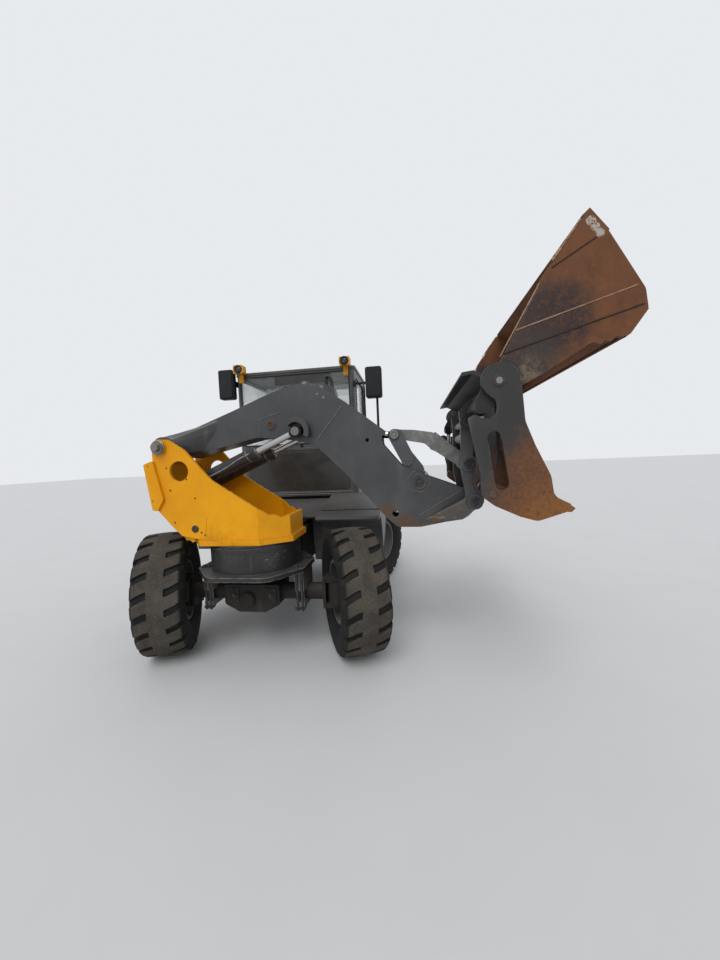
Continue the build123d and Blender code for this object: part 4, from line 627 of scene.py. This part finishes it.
# Linkage: rows of pin ends and nuts are x, z, distance from the middle plane, radius
BOOM_PINS = [(1.44, 1.476, 0.1462, 0.036), (1.845, 1.319, 0.2862, 0.038)]
BOOM_RUSTY_PINS = [(0.245, 1.985, 0.1382, 0.031)]
BUCKET_PINS = [(1.806, 1.607, 0.2822, 0.04), (1.8, 1.905, 0.3202, 0.034), (1.872, 1.47, 0.3202, 0.031)]
BOOM_NUTS = [
    (-0.65, 1.835, 0.3402, 0.036),
    *[(x, z, 0.3122, 0.006) for x, z in arc(-0.65, 1.835, 0.046, 35, 215, 1)],
    (0.513, 2.326, 0.0142, 0.015),
    (0.65, 2.212, 0.129, 0.007),
    (0.7, 2.182, 0.129, 0.007),
]
BOOM_SIDE_Y = 0.1305
# rows: points (x, z), radius
BOOM_SEAMS = [
    ([(0.848, 2.105), (0.606, 1.814)], 0.006),
    ([(0.325, 2.086), (0.141, 2.033), (0.144, 1.903)], 0.0042),
    (arc(1.441, 1.478, 0.086, 105, 195), 0.0045),
    (arc(1.441, 1.478, 0.086, 215, 305), 0.0045),
    (arc(1.441, 1.478, 0.086, -50, 70), 0.0045),
    ([(1.441, 1.207), (1.6, 1.302), (1.763, 1.393)], 0.0045),
]
# rows: points (x, z) on the jaw's outer face, radius
# light lines: painted highlight along the bent edges of the jaw's side plates
JAW_EDGE_HIGHLIGHTS = [([(1.962, 2.327), (2.564, 2.503)], 0.004), ([(1.88, 2.195), (2.086, 2.56)], 0.004)]
# dark lines: painted shadow in the steps between the jaw's overlapping plates
JAW_GROOVE_SHADOWS = [([(1.896, 2.208), (2.592, 2.405)], 0.0045), ([(2.15, 2.633), (2.368, 2.762)], 0.004)]
JAW_RAGGED_EDGE = [([(2.15, 2.668), (2.212, 2.752), (2.292, 2.862)], 0.0055)]
JAW_Y = 0.9292
# points (x, z) of the weld between the bucket's cheek and its back
BLADE_WELD = [(1.884, 2.09), (1.886, 1.96), (1.898, 1.7), (1.99, 1.455), (2.118, 1.377), (2.19, 1.368)]
BLADE_WELD_Y = 0.8195


def boom_trim(dark, bright, rusty, weld):
    """Pin ends, seams and bolts of the boom, rocker, link and coupler."""
    for name, body, material, rows in (
        ("boom_pin_caps", "boom", dark, BOOM_PINS),
        ("boom_base_pin_caps", "boom", rusty, BOOM_RUSTY_PINS),
        ("coupler_pin_caps", "bucket", dark, BUCKET_PINS),
        ("rocker_pin_caps", "rocker", bright, [(1.258, 1.856, 0.1042, 0.036)]),
        ("lift_rod_pin_caps", "lift_rods", bright, [(0.474, 1.916, 0.2202, 0.034)]),
        ("clam_rod_pin_caps", "clam_rods", dark, [(1.781, 1.926, 0.8882, 0.022)]),
    ):
        pin_caps(name, body, material, [cap for row in rows for cap in sideways(*row)])
    # seam welds in a lighter grey than the paint: weld metal, and partly a painted highlight
    beads("boom_seams", "boom", weld, flat_lines(BOOM_SEAMS, BOOM_SIDE_Y), 0.2)
    bolts("boom_nuts", "boom", bright,
          [((x, side * y, z), (0, side, 0), radius) for side in SIDES for x, z, y, radius in BOOM_NUTS])
    washer = [(0, 0), (0.06, 0), (0.06, 0.006), (0.054, 0.01), (0.05, 0.01), (0, 0.01)]
    turned("boom_pivot_washers", "boom", bright, sideways(-0.65, 1.835, 0.3302, washer))
    flag = rounded(1.832, 1.868, 1.593, 1.621, 0.006)
    plates("coupler_pin_flags", "bucket", dark, [(flag, low, low + 0.007) for low in (-0.2812, 0.2742)])
    bolts("coupler_flag_bolts", "bucket", bright, sideways(1.855, 1.607, 0.2812, 0.007))


def cylinder_trim(black, bright, pipe):
    """Gland rings, bands, ports and pressure lines on the cylinders."""
    base = Vector((-0.582, 0, 1.46))
    way = (Vector((0.474, 0, 1.916)) - base).normalized()
    barrels = [(side, base + Vector((0, side * 0.188, 0))) for side in SIDES]
    band = [(0.053, 0), (0.056, 0.002), (0.056, 0.01), (0.053, 0.012)]
    gland = [(0.0585, 0), (0.0605, 0.003), (0.0605, 0.02), (0.0585, 0.023)]
    wiper = [(0.0275, 0), (0.046, 0), (0.046, 0.004), (0.04, 0.01), (0.0275, 0.01)]
    for name, material, far, profile in (
        ("lift_barrel_bands", bright, 0.695, band),
        ("lift_barrel_glands", black, 0.745, gland),
        ("lift_barrel_wipers", bright, 0.777, wiper),
    ):
        turned(name, "lift_barrels", material, [(foot + way * far, way, profile) for _, foot in barrels], 40)
    port = [(0, 0), (0.018, 0), (0.018, 0.016), (0.012, 0.02), (0.012, 0.026), (0, 0.026)]
    turned("lift_barrel_ports", "lift_barrels", black,
           [(foot + Vector((0, side * 0.046, 0)) + way * far, (0, side, 0), port)
            for side, foot in barrels for far in (0.16, 0.735)], 20)
    # rows: distance outward from the barrel's axis, distance along it, drop
    route = [(0.0702, 0.16, 0), (0.0832, 0.19, 0), (0.0754, 0.24, 0.02), (0.0676, 0.5, 0.02),
             (0.0676, 0.62, 0), (0.0754, 0.7, 0), (0.0702, 0.735, 0)]
    pipes("lift_barrel_lines", "lift_barrels", pipe,
          [([foot + Vector((0, side * out, -drop)) + way * far for out, far, drop in route], 0.0065)
           for side, foot in barrels])
    base = Vector((0.245, 0, 1.985))
    way = (Vector((1.258, 0, 1.856)) - base).normalized()
    turned("tilt_barrel_gland", "tilt_barrel", black, [(base + way * 0.728, way, gland)], 40)
    wiper = [(0.0305, 0), (0.048, 0), (0.048, 0.004), (0.042, 0.01), (0.0305, 0.01)]
    turned("tilt_barrel_wiper", "tilt_barrel", bright, [(base + way * 0.76, way, wiper)], 40)
    bolts("tilt_barrel_bolts", "tilt_barrel", bright,
          [(base + way * 0.76 + Vector((0, y, z)), way, 0.005) for y, z in arc(0, 0, 0.052, 45, 315, 3)])


def console_trim(yellow, dark, rusty):
    """Welds, plugs and bolts of the slewing console."""
    foot = [(-0.29, -0.312), (0.158, -0.312), (0.381, -0.171), (0.381, 0.171), (0.158, 0.312), (-0.29, 0.312)]
    beads("console_foot_weld", "console", yellow, [([(x, y, 1.07) for x, y in foot], 0.0065)], 0.25)
    seams = [([(-0.28, 1.252), (-0.294, 1.09)], 0.003), ([(-0.7, 1.7), (-0.698, 1.33)], 0.003)]
    beads("console_seams", "console", yellow, flat_lines(seams, 0.3105), 0.2)
    plug = [(0, 0), (0.03, 0), (0.03, 0.004), (0.026, 0.007), (0.016, 0.007), (0.013, 0.003), (0, 0.003)]
    turned("console_plugs", "console", dark, sideways(-0.384, 1.159, 0.3102, plug), 24)
    for name, material, y, spots in (
        ("console_rivets", rusty, 0.3102, [(-0.33, 1.128), (-0.3, 1.108), (-0.56, 1.215)]),
        ("console_cover_bolts", yellow, 0.3322, [(-0.755, 1.69), (-0.7318, 1.4)]),
    ):
        bolts(name, "console", material, [row for x, z in spots for row in sideways(x, z, y, 0.005)])


# Undercarriage
DRUM_FOOT_Z = 0.792
CLAMP_NUT_Z = 0.4395
# rows: low x, high x of the pads on both axles
PAD_SPANS = [(-0.215, -0.135), (0.105, 0.205)]


def undercarriage_trim(paint, dark, drum):
    """Drum weld, stud pairs, axle covers and plugs."""
    ring = [(x, y, DRUM_FOOT_Z) for x, y in arc(0, 0, 0.3865, 0, 360, 96)]
    beads("drum_foot_weld", "chassis", drum, [(ring, 0.005)], 0.2)
    shank = [(0, 0), (0.01, 0), (0.012, 0.003), (0.012, 0.394), (0.01, 0.397), (0, 0.397)]
    shanks, nuts = [], []
    for x in (0.395, 0.435, -0.435, -0.395):
        for y in (-0.138, 0.138):
            shanks.append(((x, y, 0.4125), (0, 0, 1), shank))
            nuts += [((x, y, CLAMP_NUT_Z), (0, 0, -1), 0.0175), ((x, y, 0.7902), (0, 0, 1), 0.0175)]
        nuts += [((x, y, CLAMP_NUT_Z), (0, 0, -1), 0.0175) for y in (-0.108, 0.108)]
    turned("axle_studs", "chassis", dark, shanks, 16)
    bolts("axle_stud_nuts", "chassis", dark, nuts)
    pads, plugs, small = [], [], []
    for face, ahead in ((-0.125, -1), (WHEELBASE + 0.135, 1)):
        skin = face + ahead * 0.008
        for low, high in PAD_SPANS:
            pads.append((rounded(low, high, 0.478, 0.6, 0.012), min(face, skin), max(face, skin)))
            plugs.append((((low + high) / 2, skin, 0.54), (0, ahead, 0), 0.014))
            small += [((x, skin, z), (0, ahead, 0), 0.0055)
                      for z in (0.488, 0.59) for x in (low + 0.01, high - 0.01)]
    small += [((x, -0.1482, z), (0, -1, 0), 0.005) for x, z in arc(-0.06, 0.4975, 0.048, 30, 330, 5)]
    plates("axle_pads", "chassis", paint, pads)
    cover = [(0, 0), (0.062, 0), (0.062, 0.005), (0.056, 0.008), (0, 0.008)]
    turned("axle_cover", "chassis", paint, [((-0.06, -0.1401, 0.4975), (0, -1, 0), cover)])
    bolts("axle_plugs", "chassis", dark, plugs)
    bolts("axle_cover_bolts", "chassis", dark, small)


def bucket_trim(bright, rusty, weld_and_highlight_rust, groove_shadow):
    """Pin ends, bolts and welds of the two bucket halves, with light edge lines of painted highlight and dark
    groove lines of painted shadow.
    """
    heads = bmesh.new()
    for side in SIDES:
        add_prism(heads, (1.866, side * 0.9657, 2.063), (0, side, 0), 0.021, 0.004, 6, 0.0195, 0.4)
    new_piece("bucket_top_pins", "bucket", finish_mesh("bucket_top_pins", heads), bright)
    cap = [(0, 0), (0.022, 0), (0.022, 0.003), (0.017, 0.0055), (0, 0.0058)]
    turned("bucket_low_pins", "bucket", rusty, sideways(1.823, 1.447, 0.9602, cap), 24)
    bolts("bucket_edge_bolts", "bucket", rusty,
          [((2.175, -0.84 + 0.24 * i, 1.3782), (0, 0, 1), 0.013) for i in range(8)])
    for name, body, material, table, y, ripple in (
        # jaw edge lines are painted highlight and jaw grooves painted shadow; the ragged jaw beads and the
        # blade beads are welds
        ("jaw_edge_highlights", "jaw", weld_and_highlight_rust, JAW_EDGE_HIGHLIGHTS, JAW_Y, 0.15),
        ("jaw_groove_shadows", "jaw", groove_shadow, JAW_GROOVE_SHADOWS, JAW_Y, 0.15),
        ("jaw_edge_welds", "jaw", weld_and_highlight_rust, JAW_RAGGED_EDGE, JAW_Y, 0.55),
        ("bucket_blade_welds", "bucket", rusty, [(BLADE_WELD, 0.007)], BLADE_WELD_Y, 0.25),
    ):
        beads(name, body, material, flat_lines(table, y), ripple)


# Cab and rear: where the outer faces lie
CAB_FRONT_Y = 1.3015
CAB_SIDE_X = 0.7455
REAR_Y = 3.0202
LAMP_X = 0.655
TAIL_LAMP_X = 0.78


def cab_trim(rubber, dark, gloss, lens, bright, silver, red, amber):
    """Seals, wiper, panels, lamp and mirror glass, lock and caps of the cab and rear."""
    # rows: low, high, bottom and top of the pane, its plane, where that plane lies
    seals = {
        "chassis": [
            (-0.683, 0.683, 1.89, 2.732, "xz", 1.2995),
            (-0.655, 0.655, 1.89, 2.732, "xz", 2.3805),
            (1.39, 2.27, 1.64, 2.732, "yz", -CAB_SIDE_X),
            (2.18, 2.32, 1.89, 2.732, "yz", CAB_SIDE_X),
        ],
        "door": [(1.439, 2.075, 1.565, 2.665, "yz", CAB_SIDE_X)],
    }
    for body, panes in seals.items():
        rows = []
        for low, high, bottom, top, flat, level in panes:
            outline = rounded(low, high, bottom, top, 0.04)
            rows.append(([(u, level, v) if flat == "xz" else (level, u, v) for u, v in outline], 0.008))
        beads(f"{body}_window_seals", body, rubber, rows, closed=True)
    for name, outline, high, bevel in (
        ("cab_sun_strip", rounded(-0.245, 0.46, 2.618, 2.728, 0.012), 1.3045, 0.001),
        ("cab_lower_panel", rounded(-0.64, 0.64, 1.312, 1.78, 0.045), 1.307, 0.0015),
    ):
        plates(name, "chassis", gloss, [(outline, CAB_FRONT_Y, high)], bevel)
    beads("cab_trim_lines", "chassis", bright,
          [([(-0.69, 1.2995, z), (0.69, 1.2995, z)], 0.004) for z in (1.262, 1.286)])
    plates("wiper_blade", "chassis", rubber, [(rounded(-0.128, -0.108, 2.05, 2.6, 0.006), 1.288, 1.304)])
    arm = [(0.06, 1.296, 1.862), (0.055, 1.284, 1.9), (-0.08, 1.28, 2.24), (-0.116, 1.286, 2.34)]
    pipes("wiper_arm", "chassis", dark, [(arm, 0.007)])
    bolts("wiper_nut", "chassis", dark, [((0.06, 1.2995, 1.862), (0, -1, 0), 0.014)])
    dome = [(0, 0), (0.0385, 0), (0.0385, 0.008), (0.034, 0.013), (0.02, 0.017), (0, 0.018)]
    rim = [(0.0405, 0), (0.052, 0), (0.052, 0.004), (0.047, 0.006), (0.0405, 0.006)]
    turned("work_lamp_lenses", "chassis", lens,
           [((side * LAMP_X, 1.1995, 2.818), (0, -1, 0), dome) for side in SIDES], smooth=True)
    turned("work_lamp_rims", "chassis", dark,
           [((side * LAMP_X, 1.1799, 2.818), (0, -1, 0), rim) for side in SIDES])
    for name, material, low in (("tail_lamp_red", red, -0.048), ("tail_lamp_amber", amber, 0.004)):
        plates(name, "chassis", material,
               [(rounded(middle + low, middle + low + 0.044, 1.136, 1.221, 0.01), REAR_Y, REAR_Y + 0.006)
                for middle in (-TAIL_LAMP_X, TAIL_LAMP_X)])
    plates("mirror_faces", "chassis", silver,
           [(rounded(x - 0.083, x + 0.083, z - 0.166, z + 0.166, 0.02), 1.2802, 1.2822)
            for x, z in ((0.985, 2.555), (-0.83, 2.65))], 0)
    bolts("door_hinge_bolts", "chassis", dark,
          [((0.7452, 2.15, z), (1, 0, 0), 0.006) for z in (1.43, 1.47, 2.13, 2.17)])
    lock = [(0, 0), (0.014, 0), (0.014, 0.005), (0.01, 0.007), (0, 0.007)]
    turned("door_lock", "door", bright, [((0.7452, 1.44, 1.44), (1, 0, 0), lock)], 20)
    cap = [(0, 0), (0.052, 0), (0.052, 0.022), (0.046, 0.03), (0.016, 0.03), (0.012, 0.036), (0, 0.036)]
    turned("tank_cap", "chassis", dark, [((0.56, 0.96, 1.06), (0, 0, 1), cap)], 24)
    treads = [(side * (0.73 + 0.045 * i), z) for side in SIDES for z, count in ((0.5, 5), (0.79, 4))
              for i in range(count)]
    beads("step_treads", "chassis", dark, [([(x, 0.9, z), (x, 1.25, z)], 0.0045) for x, z in treads])


def fender_trim(groove, bright, rubber):
    """Seams and bolts of the fenders, and the seams and latch of the hood."""
    seam = [(0.436, 0.64, 1.15), (0.7, 0.652, 1.152), (1.045, 0.66, 1.153)]
    beads("fender_seams", "chassis", groove,
          [([(side * x, y, z) for x, y, z in seam], 0.003) for side in SIDES])
    bolts("fender_bolts", "chassis", bright,
          [((side * x, 1.25, 1.2455), (0, -0.18, 1), 0.007) for side in SIDES for x in (0.47, 0.72, 1.02)])
    beads("hood_side_seams", "hood", groove,
          [([(side * 0.7215, y, 1.165) for y in (2.43, 2.98)], 0.004) for side in SIDES])
    latch = rounded(-0.06, 0.06, 1.165, 1.205, 0.01)
    plates("hood_latch", "hood", rubber, [(latch, REAR_Y, REAR_Y + 0.01)], 0.003)


def power(value, exponent):
    """Power of the value's size, with its sign kept."""
    return math.copysign(abs(value) ** exponent, value)


# Seat pads, in shares of a pad's half size
SIDE_PULL = 0.035
CHANNEL_DEPTH = 0.1
CHANNEL_WIDTH = 0.035


def pad_mesh(name, centre, half, tilt, channels):
    """Crowned closed pad whose sides pull in between its corners, with sewn channels across it."""
    mesh = bmesh.new()
    rings = []
    across, around = 36, 56
    turn = Matrix.Rotation(tilt, 3, "X")
    for i in range(across + 1):
        level = -math.pi / 2 + math.pi * i / across
        ring = []
        for j in range(around if 0 < i < across else 1):
            angle = 2 * math.pi * j / around
            flat = power(math.cos(level), 0.32)
            u = flat * power(math.cos(angle), 0.36)
            v = flat * power(math.sin(angle), 0.36)
            w = power(math.sin(level), 0.8)
            u *= 1 - SIDE_PULL * (1 - v * v)
            v *= 1 - SIDE_PULL * (1 - u * u)
            dip = sum(CHANNEL_DEPTH * math.exp(-((v - place) / CHANNEL_WIDTH) ** 2) for place in channels)
            w *= 1 - dip * (1 if abs(w) > 0.2 else 0)
            spot = Vector((u * half[0], v * half[1], w * half[2]))
            ring.append(mesh.verts.new(Vector(centre) + turn @ spot))
        rings.append(ring)
    bridge(mesh, rings)
    return finish_mesh(name, mesh)


def seat(cloth, plastic):
    """Seat: rubber bellows, cushion and back."""
    # rows: height, how far the bellows draws in
    levels = [(1.291, 0), (1.32, 0), (1.335, 0.018)]
    for i in range(6):
        levels += [(1.35 + i * 0.032, 0.03), (1.366 + i * 0.032, 0.01)]
    levels += [(1.548, 0.02), (1.556, 0)]
    mesh = bmesh.new()
    rings = []
    for z, inset in levels:
        outline = rounded(-0.178 + inset, 0.178 - inset, 1.902 + inset, 2.148 - inset, 0.03)
        rings.append([mesh.verts.new((x, y, z)) for x, y in outline])
    bridge(mesh, rings, capped=True)
    shape = finish_mesh("seat_bellows", mesh)
    base = new_piece("seat_bellows", "chassis", shape, plastic)
    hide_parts("seat")
    for name, centre, half, tilt, channels in (
        ("seat_cushion", (0, 1.997, 1.608), (0.248, 0.216, 0.05), 0.0, (-0.35, 0.1, 0.55)),
        ("seat_back", (0, 2.236, 1.925), (0.233, 0.318, 0.044), math.radians(84.4), (-0.45, 0.0, 0.45)),
    ):
        shape = pad_mesh(name, centre, half, tilt, channels)
        pad = new_piece(name, "chassis", shape, cloth, True)
        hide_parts("seat")


# Tyres
TREAD_GROOVES = 21
GROOVE_SHARE = 0.36
GROOVE_EDGE = 0.014
GROOVE_SLANT = 0.95
SLANT_END_X = 0.19
HOOK_END_X = 0.105
# rows: distance from the middle plane, radius, groove depth
TYRE_PROFILE = [
    (0.144, 0.258, 0), (0.152, 0.292, 0), (0.16, 0.296, 0), (0.176, 0.322, 0),
    (0.189, 0.352, 0), (0.1965, 0.384, 0), (0.1985, 0.412, 0), (0.196, 0.438, 0),
    (0.1985, 0.444, 0), (0.194, 0.462, 0), (0.189, 0.482, 0.006), (0.1855, 0.5, 0.016),
    (0.1795, 0.513, 0.022), (0.1705, 0.5225, 0.026), (0.156, 0.5285, 0.026), (0.13, 0.531, 0.026),
    (0.095, 0.534, 0.025), (0.065, 0.5357, 0.022), (0.06, 0.536, 0), (0.03, 0.5373, 0),
    (0, 0.5376, 0),
]


def tyre_mesh(name, place):
    """Tyre round the X axis of place, with slanted grooves across both shoulders."""
    rows = [(-x, r, d, -1) for x, r, d in TYRE_PROFILE[:-1]]
    rows += [(x, r, d, 1) for x, r, d in reversed(TYRE_PROFILE)]
    marks = []
    for start in (0, 0.5):
        for phase in (start, start + GROOVE_SHARE):
            marks += [phase - GROOVE_EDGE, phase + GROOVE_EDGE]
        marks += [start + GROOVE_SHARE / 2, start + GROOVE_SHARE + 0.07]
    mesh = bmesh.new()
    reach_of = mesh.verts.layers.float.new("reach")
    grid = []
    for column, phase in [(turn + phase, phase) for turn in range(TREAD_GROOVES) for phase in sorted(marks)]:
        ring = []
        for x, radius, depth, side in rows:
            start = 0.0 if side < 0 else 0.5
            inside = start + GROOVE_EDGE * 0.5 < phase < start + GROOVE_SHARE - GROOVE_EDGE * 0.5
            cut = depth if inside else 0.0
            hook = 0.5 * max(0, HOOK_END_X - abs(x)) * side
            slant = GROOVE_SLANT * (x + hook if abs(x) <= SLANT_END_X else SLANT_END_X * side)
            angle = 2 * math.pi * column / TREAD_GROOVES + slant
            reach = radius - cut
            across = x - side * cut * (0.8 if abs(x) > 0.165 else 0.0)
            spot = Vector((across, -reach * math.cos(angle), reach * math.sin(angle)))
            ring.append(mesh.verts.new(place @ spot))
            ring[-1][reach_of] = reach
        grid.append(ring)
    for ring, after in zip(grid, grid[1:] + grid[:1]):
        for j in range(len(rows) - 1):
            mesh.faces.new((ring[j], ring[j + 1], after[j + 1], after[j]))
        mesh.faces.new((ring[0], after[0], after[-1], ring[-1]))
    return finish_mesh(name, mesh)


def wheel_place(side, axle_y, angle):
    """Matrix of a wheel, whose axis is X."""
    turn = Matrix.Rotation(angle, 4, "Z")
    centre = Vector((side * KINGPIN_X, axle_y, TYRE_R)) + turn @ Vector((side * WHEEL_OFFSET, 0, 0))
    return Matrix.Translation(centre) @ turn


def wheels(rubber, bolt):
    """Tyres with their tread, and the nuts and hub bolts on the rims."""
    for name, side, axle_y, angle in WHEELS:
        place = wheel_place(side, axle_y, angle)
        shape = tyre_mesh(f"tread_{name}", place)
        tyre = new_piece(f"tread_{name}", f"wheel_{name}", shape, rubber)
        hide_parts(f"tyre_{name}")
        rows = []
        for count, ring_r, x, radius in ((10, 0.167, 0.0343, 0.013), (8, 0.104, 0.0925, 0.008)):
            for i in range(count):
                turn = 2 * math.pi * (i + 0.5) / count
                spot = Vector((side * x, ring_r * math.cos(turn), ring_r * math.sin(turn)))
                rows.append((place @ spot, place.to_3x3() @ Vector((side, 0, 0)), radius))
        bolts(f"wheel_nuts_{name}", f"wheel_{name}", bolt, rows)


def camera():
    """Camera at the photograph's viewing angle."""
    data = bpy.data.cameras.new("photo_camera")
    data.sensor_width = SENSOR
    data.lens = SENSOR * FOCAL_PX / PHOTO_HEIGHT_PX
    data.clip_start = 0.05
    data.clip_end = 200
    turn = Matrix.Rotation(-CAMERA_YAW, 4, "Z") @ Matrix.Rotation(math.pi / 2 + CAMERA_PITCH, 4, "X")
    holder = add_object("photo_camera", data)
    holder.matrix_world = Matrix.Translation(CAMERA_PLACE) @ turn @ Matrix.Rotation(CAMERA_ROLL, 4, "Z")
    bpy.context.scene.camera = holder


def studio():
    """Pale floor, pale backdrop and soft light from above."""
    bpy.context.scene.view_settings.view_transform = "Standard"
    mesh = bmesh.new()
    bmesh.ops.create_grid(mesh, x_segments=1, y_segments=1, size=60)
    floor = add_object("floor", finish_mesh("floor", mesh, closed=False))
    grey = Surface("floor_grey", (0.6, 0.6, 0.6), 0.8)
    grey.lay(grey.patches(1.5, 4, 0.5, 0.3, 0.8, 0.4), (0.56, 0.56, 0.56))
    floor.data.materials.append(grey.done())
    world = bpy.data.worlds.new("studio")
    world.use_nodes = True
    bpy.context.scene.world = world
    tree = world.node_tree
    backdrop = tree.nodes["Background"]
    put(backdrop.inputs["Color"], (0.8, 0.82, 0.85))
    light = add_node(tree, "Background", ("Color", (0.93, 0.96, 1.0)), ("Strength", 0.75))
    rays = add_node(tree, "LightPath").outputs
    seen = rays["Is Camera Ray"]
    for ray in ("Is Glossy Ray", "Is Transmission Ray"):
        seen = add_node(tree, "Math", (0, seen), (1, rays[ray]), operation="MAXIMUM").outputs[0]
    mix = add_node(tree, "MixShader", (0, seen), (1, light.outputs[0]), (2, backdrop.outputs[0]))
    put(tree.nodes["World Output"].inputs["Surface"], mix.outputs[0])
    lamp = bpy.data.lights.new("soft_sun", "SUN")
    lamp.energy = 1.3
    lamp.angle = math.radians(35)
    sun = add_object("soft_sun", lamp)
    sun.rotation_euler = (math.radians(38), math.radians(-14), math.radians(12))


def dress_nodes(look):
    """Give every CAD node its material; look is slot name to material, two nodes have their own."""
    own = {"boom": look["boom_paint"], "turret": look["drum_paint"]}
    slots = {row["node"]: row["material_slot"] for row in frame["record"]["subparts"]}
    for name, node in frame["nodes"].items():
        for place in node.material_slots:
            place.link = "OBJECT"
            place.material = own.get(name, look[slots[name]])


camera()
studio()
LOOK = {
    # cab and fenders: the lighter CAB_GREY base is partly a painted highlight
    "charcoal_paint": worn_paint("charcoal_paint", CAB_GREY, CAB_GREY_LIGHT, 0.42, STEEL, dust=0.35).done(
        0.004, coat=0.1, gloss=0.4),
    "chassis_paint": chassis_paint(),
    "yellow_paint": yellow_paint(),
    "black_paint": worn_paint("black_paint", BLACK, BLACK_LIGHT, 0.36, STEEL, dust=0.3).done(
        0.002, coat=0.1, gloss=0.4),
    "bucket_paint": bucket_paint(),
    "rusty_steel": rusty_steel(),
    "worn_steel": worn_steel(),
    "chrome": chrome(),
    "cast_iron": grained("cast_metal", (0.055, 0.055, 0.056), 0.6, (30, 5, 0.7, 0.4, 0.7),
                         (0.09, 0.085, 0.08), None, (180, 4, 0.7), 0.0006, metallic=0.3, edge=0.003),
    "rim_paint": worn_paint("rim_paint", RIM_GREY, RIM_GREY_DARK, 0.5, RUST_DARK, dust=0.3, splash=0.4).done(
        0.003, gloss=0.35),
    "tyre": tyre_rubber(),
    "glass": glass(),
    "seat_fabric": grained("seat_cloth", (0.02, 0.02, 0.022), 0.9, (500, 2, 0.5, 0.4, 0.6),
                           (0.045, 0.045, 0.05), None, (900, 2, 0.6), 0.0004),
    "dark_plastic": grained("dark_plastic", (0.014, 0.0142, 0.0155), 0.55, (14, 5, 0.6, 0.5, 0.8, 0.6),
                            (0.032, 0.031, 0.03), 0.75, (700, 3, 0.6), 0.0002, edge=0.004, gloss=0.25),
    "lamp_plastic": grained("lamp_plastic", (0.66, 0.3, 0.01), 0.4, (30, 5, 0.7, 0.5, 0.75, 0.7),
                            (0.1, 0.07, 0.05), 0.8, (300, 3, 0.6), 0.0002, edge=0.003, gloss=0.3),
    "boom_paint": boom_paint(),
    "drum_paint": drum_paint(),
}
BOLT = grained("bolt_metal", (0.24, 0.23, 0.22), 0.42, (90, 5, 0.7, 0.5, 0.7), (0.09, 0.075, 0.06), 0.7,
               (500, 3, 0.6), 0.0001, metallic=0.8, edge=0.001)
DARK_METAL = varied("dark_metal", (0.04, 0.04, 0.041), (0.085, 0.08, 0.075), 0.45, 0.4)
RUSTY_BOLT = varied("rusty_bolt", (0.125, 0.07, 0.042), (0.06, 0.036, 0.026), 0.75, 0.2, 60, 0.0006)
# weld grey, lighter than the boom paint: partly a painted highlight on the seams
WELD = varied("weld_metal_and_highlight", (0.095, 0.096, 0.099), (0.15, 0.15, 0.15), 0.4, 0.1)
PIPE_STEEL = varied("pipe_steel", (0.3, 0.3, 0.3), (0.16, 0.155, 0.15), 0.35, 0.7)
RUBBER_BLACK = varied("rubber_black", (0.01, 0.01, 0.01), (0.022, 0.022, 0.022), 0.7)
GLOSS_BLACK = varied("gloss_black", (0.036, 0.035, 0.033), (0.046, 0.044, 0.041), 0.14, 0.0, 6, 0.00002)
LENS = varied("lamp_lens", (0.045, 0.045, 0.048), (0.09, 0.09, 0.09), 0.08, 0.5, 40, 0.0002)
RED_LENS = varied("red_lens", (0.36, 0.012, 0.01), (0.28, 0.01, 0.01), 0.2, 0.0, 60, 0.0004)
AMBER_LENS = varied("amber_lens", (0.62, 0.18, 0.01), (0.52, 0.14, 0.01), 0.2, 0.0, 60, 0.0004)
# light rust: welds on the jaw, and painted highlight along the jaw's bent edges
WELD_AND_HIGHLIGHT_RUST = varied("weld_and_highlight_rust", (0.34, 0.22, 0.14), (0.22, 0.12, 0.065), 0.6, 0.1, 40)
# near-black: painted shadow in the jaw's grooves
GROOVE_SHADOW = varied("groove_shadow", (0.022, 0.014, 0.011), (0.045, 0.026, 0.018), 0.85, 0.0, 40)
MIRROR = Surface("mirror_glass", (0.6, 0.62, 0.63), 0.14, metallic=1.0).done()
dress_nodes(LOOK)
wheels(LOOK["tyre"], BOLT)
boom_trim(DARK_METAL, BOLT, RUSTY_BOLT, WELD)
cylinder_trim(LOOK["black_paint"], BOLT, PIPE_STEEL)
console_trim(LOOK["yellow_paint"], DARK_METAL, RUSTY_BOLT)
undercarriage_trim(LOOK["chassis_paint"], DARK_METAL, LOOK["drum_paint"])
bucket_trim(BOLT, RUSTY_BOLT, WELD_AND_HIGHLIGHT_RUST, GROOVE_SHADOW)
cab_trim(RUBBER_BLACK, LOOK["dark_plastic"], GLOSS_BLACK, LENS, BOLT, MIRROR, RED_LENS, AMBER_LENS)
fender_trim(RUBBER_BLACK, DARK_METAL, LOOK["dark_plastic"])
seat(LOOK["seat_fabric"], LOOK["dark_plastic"])
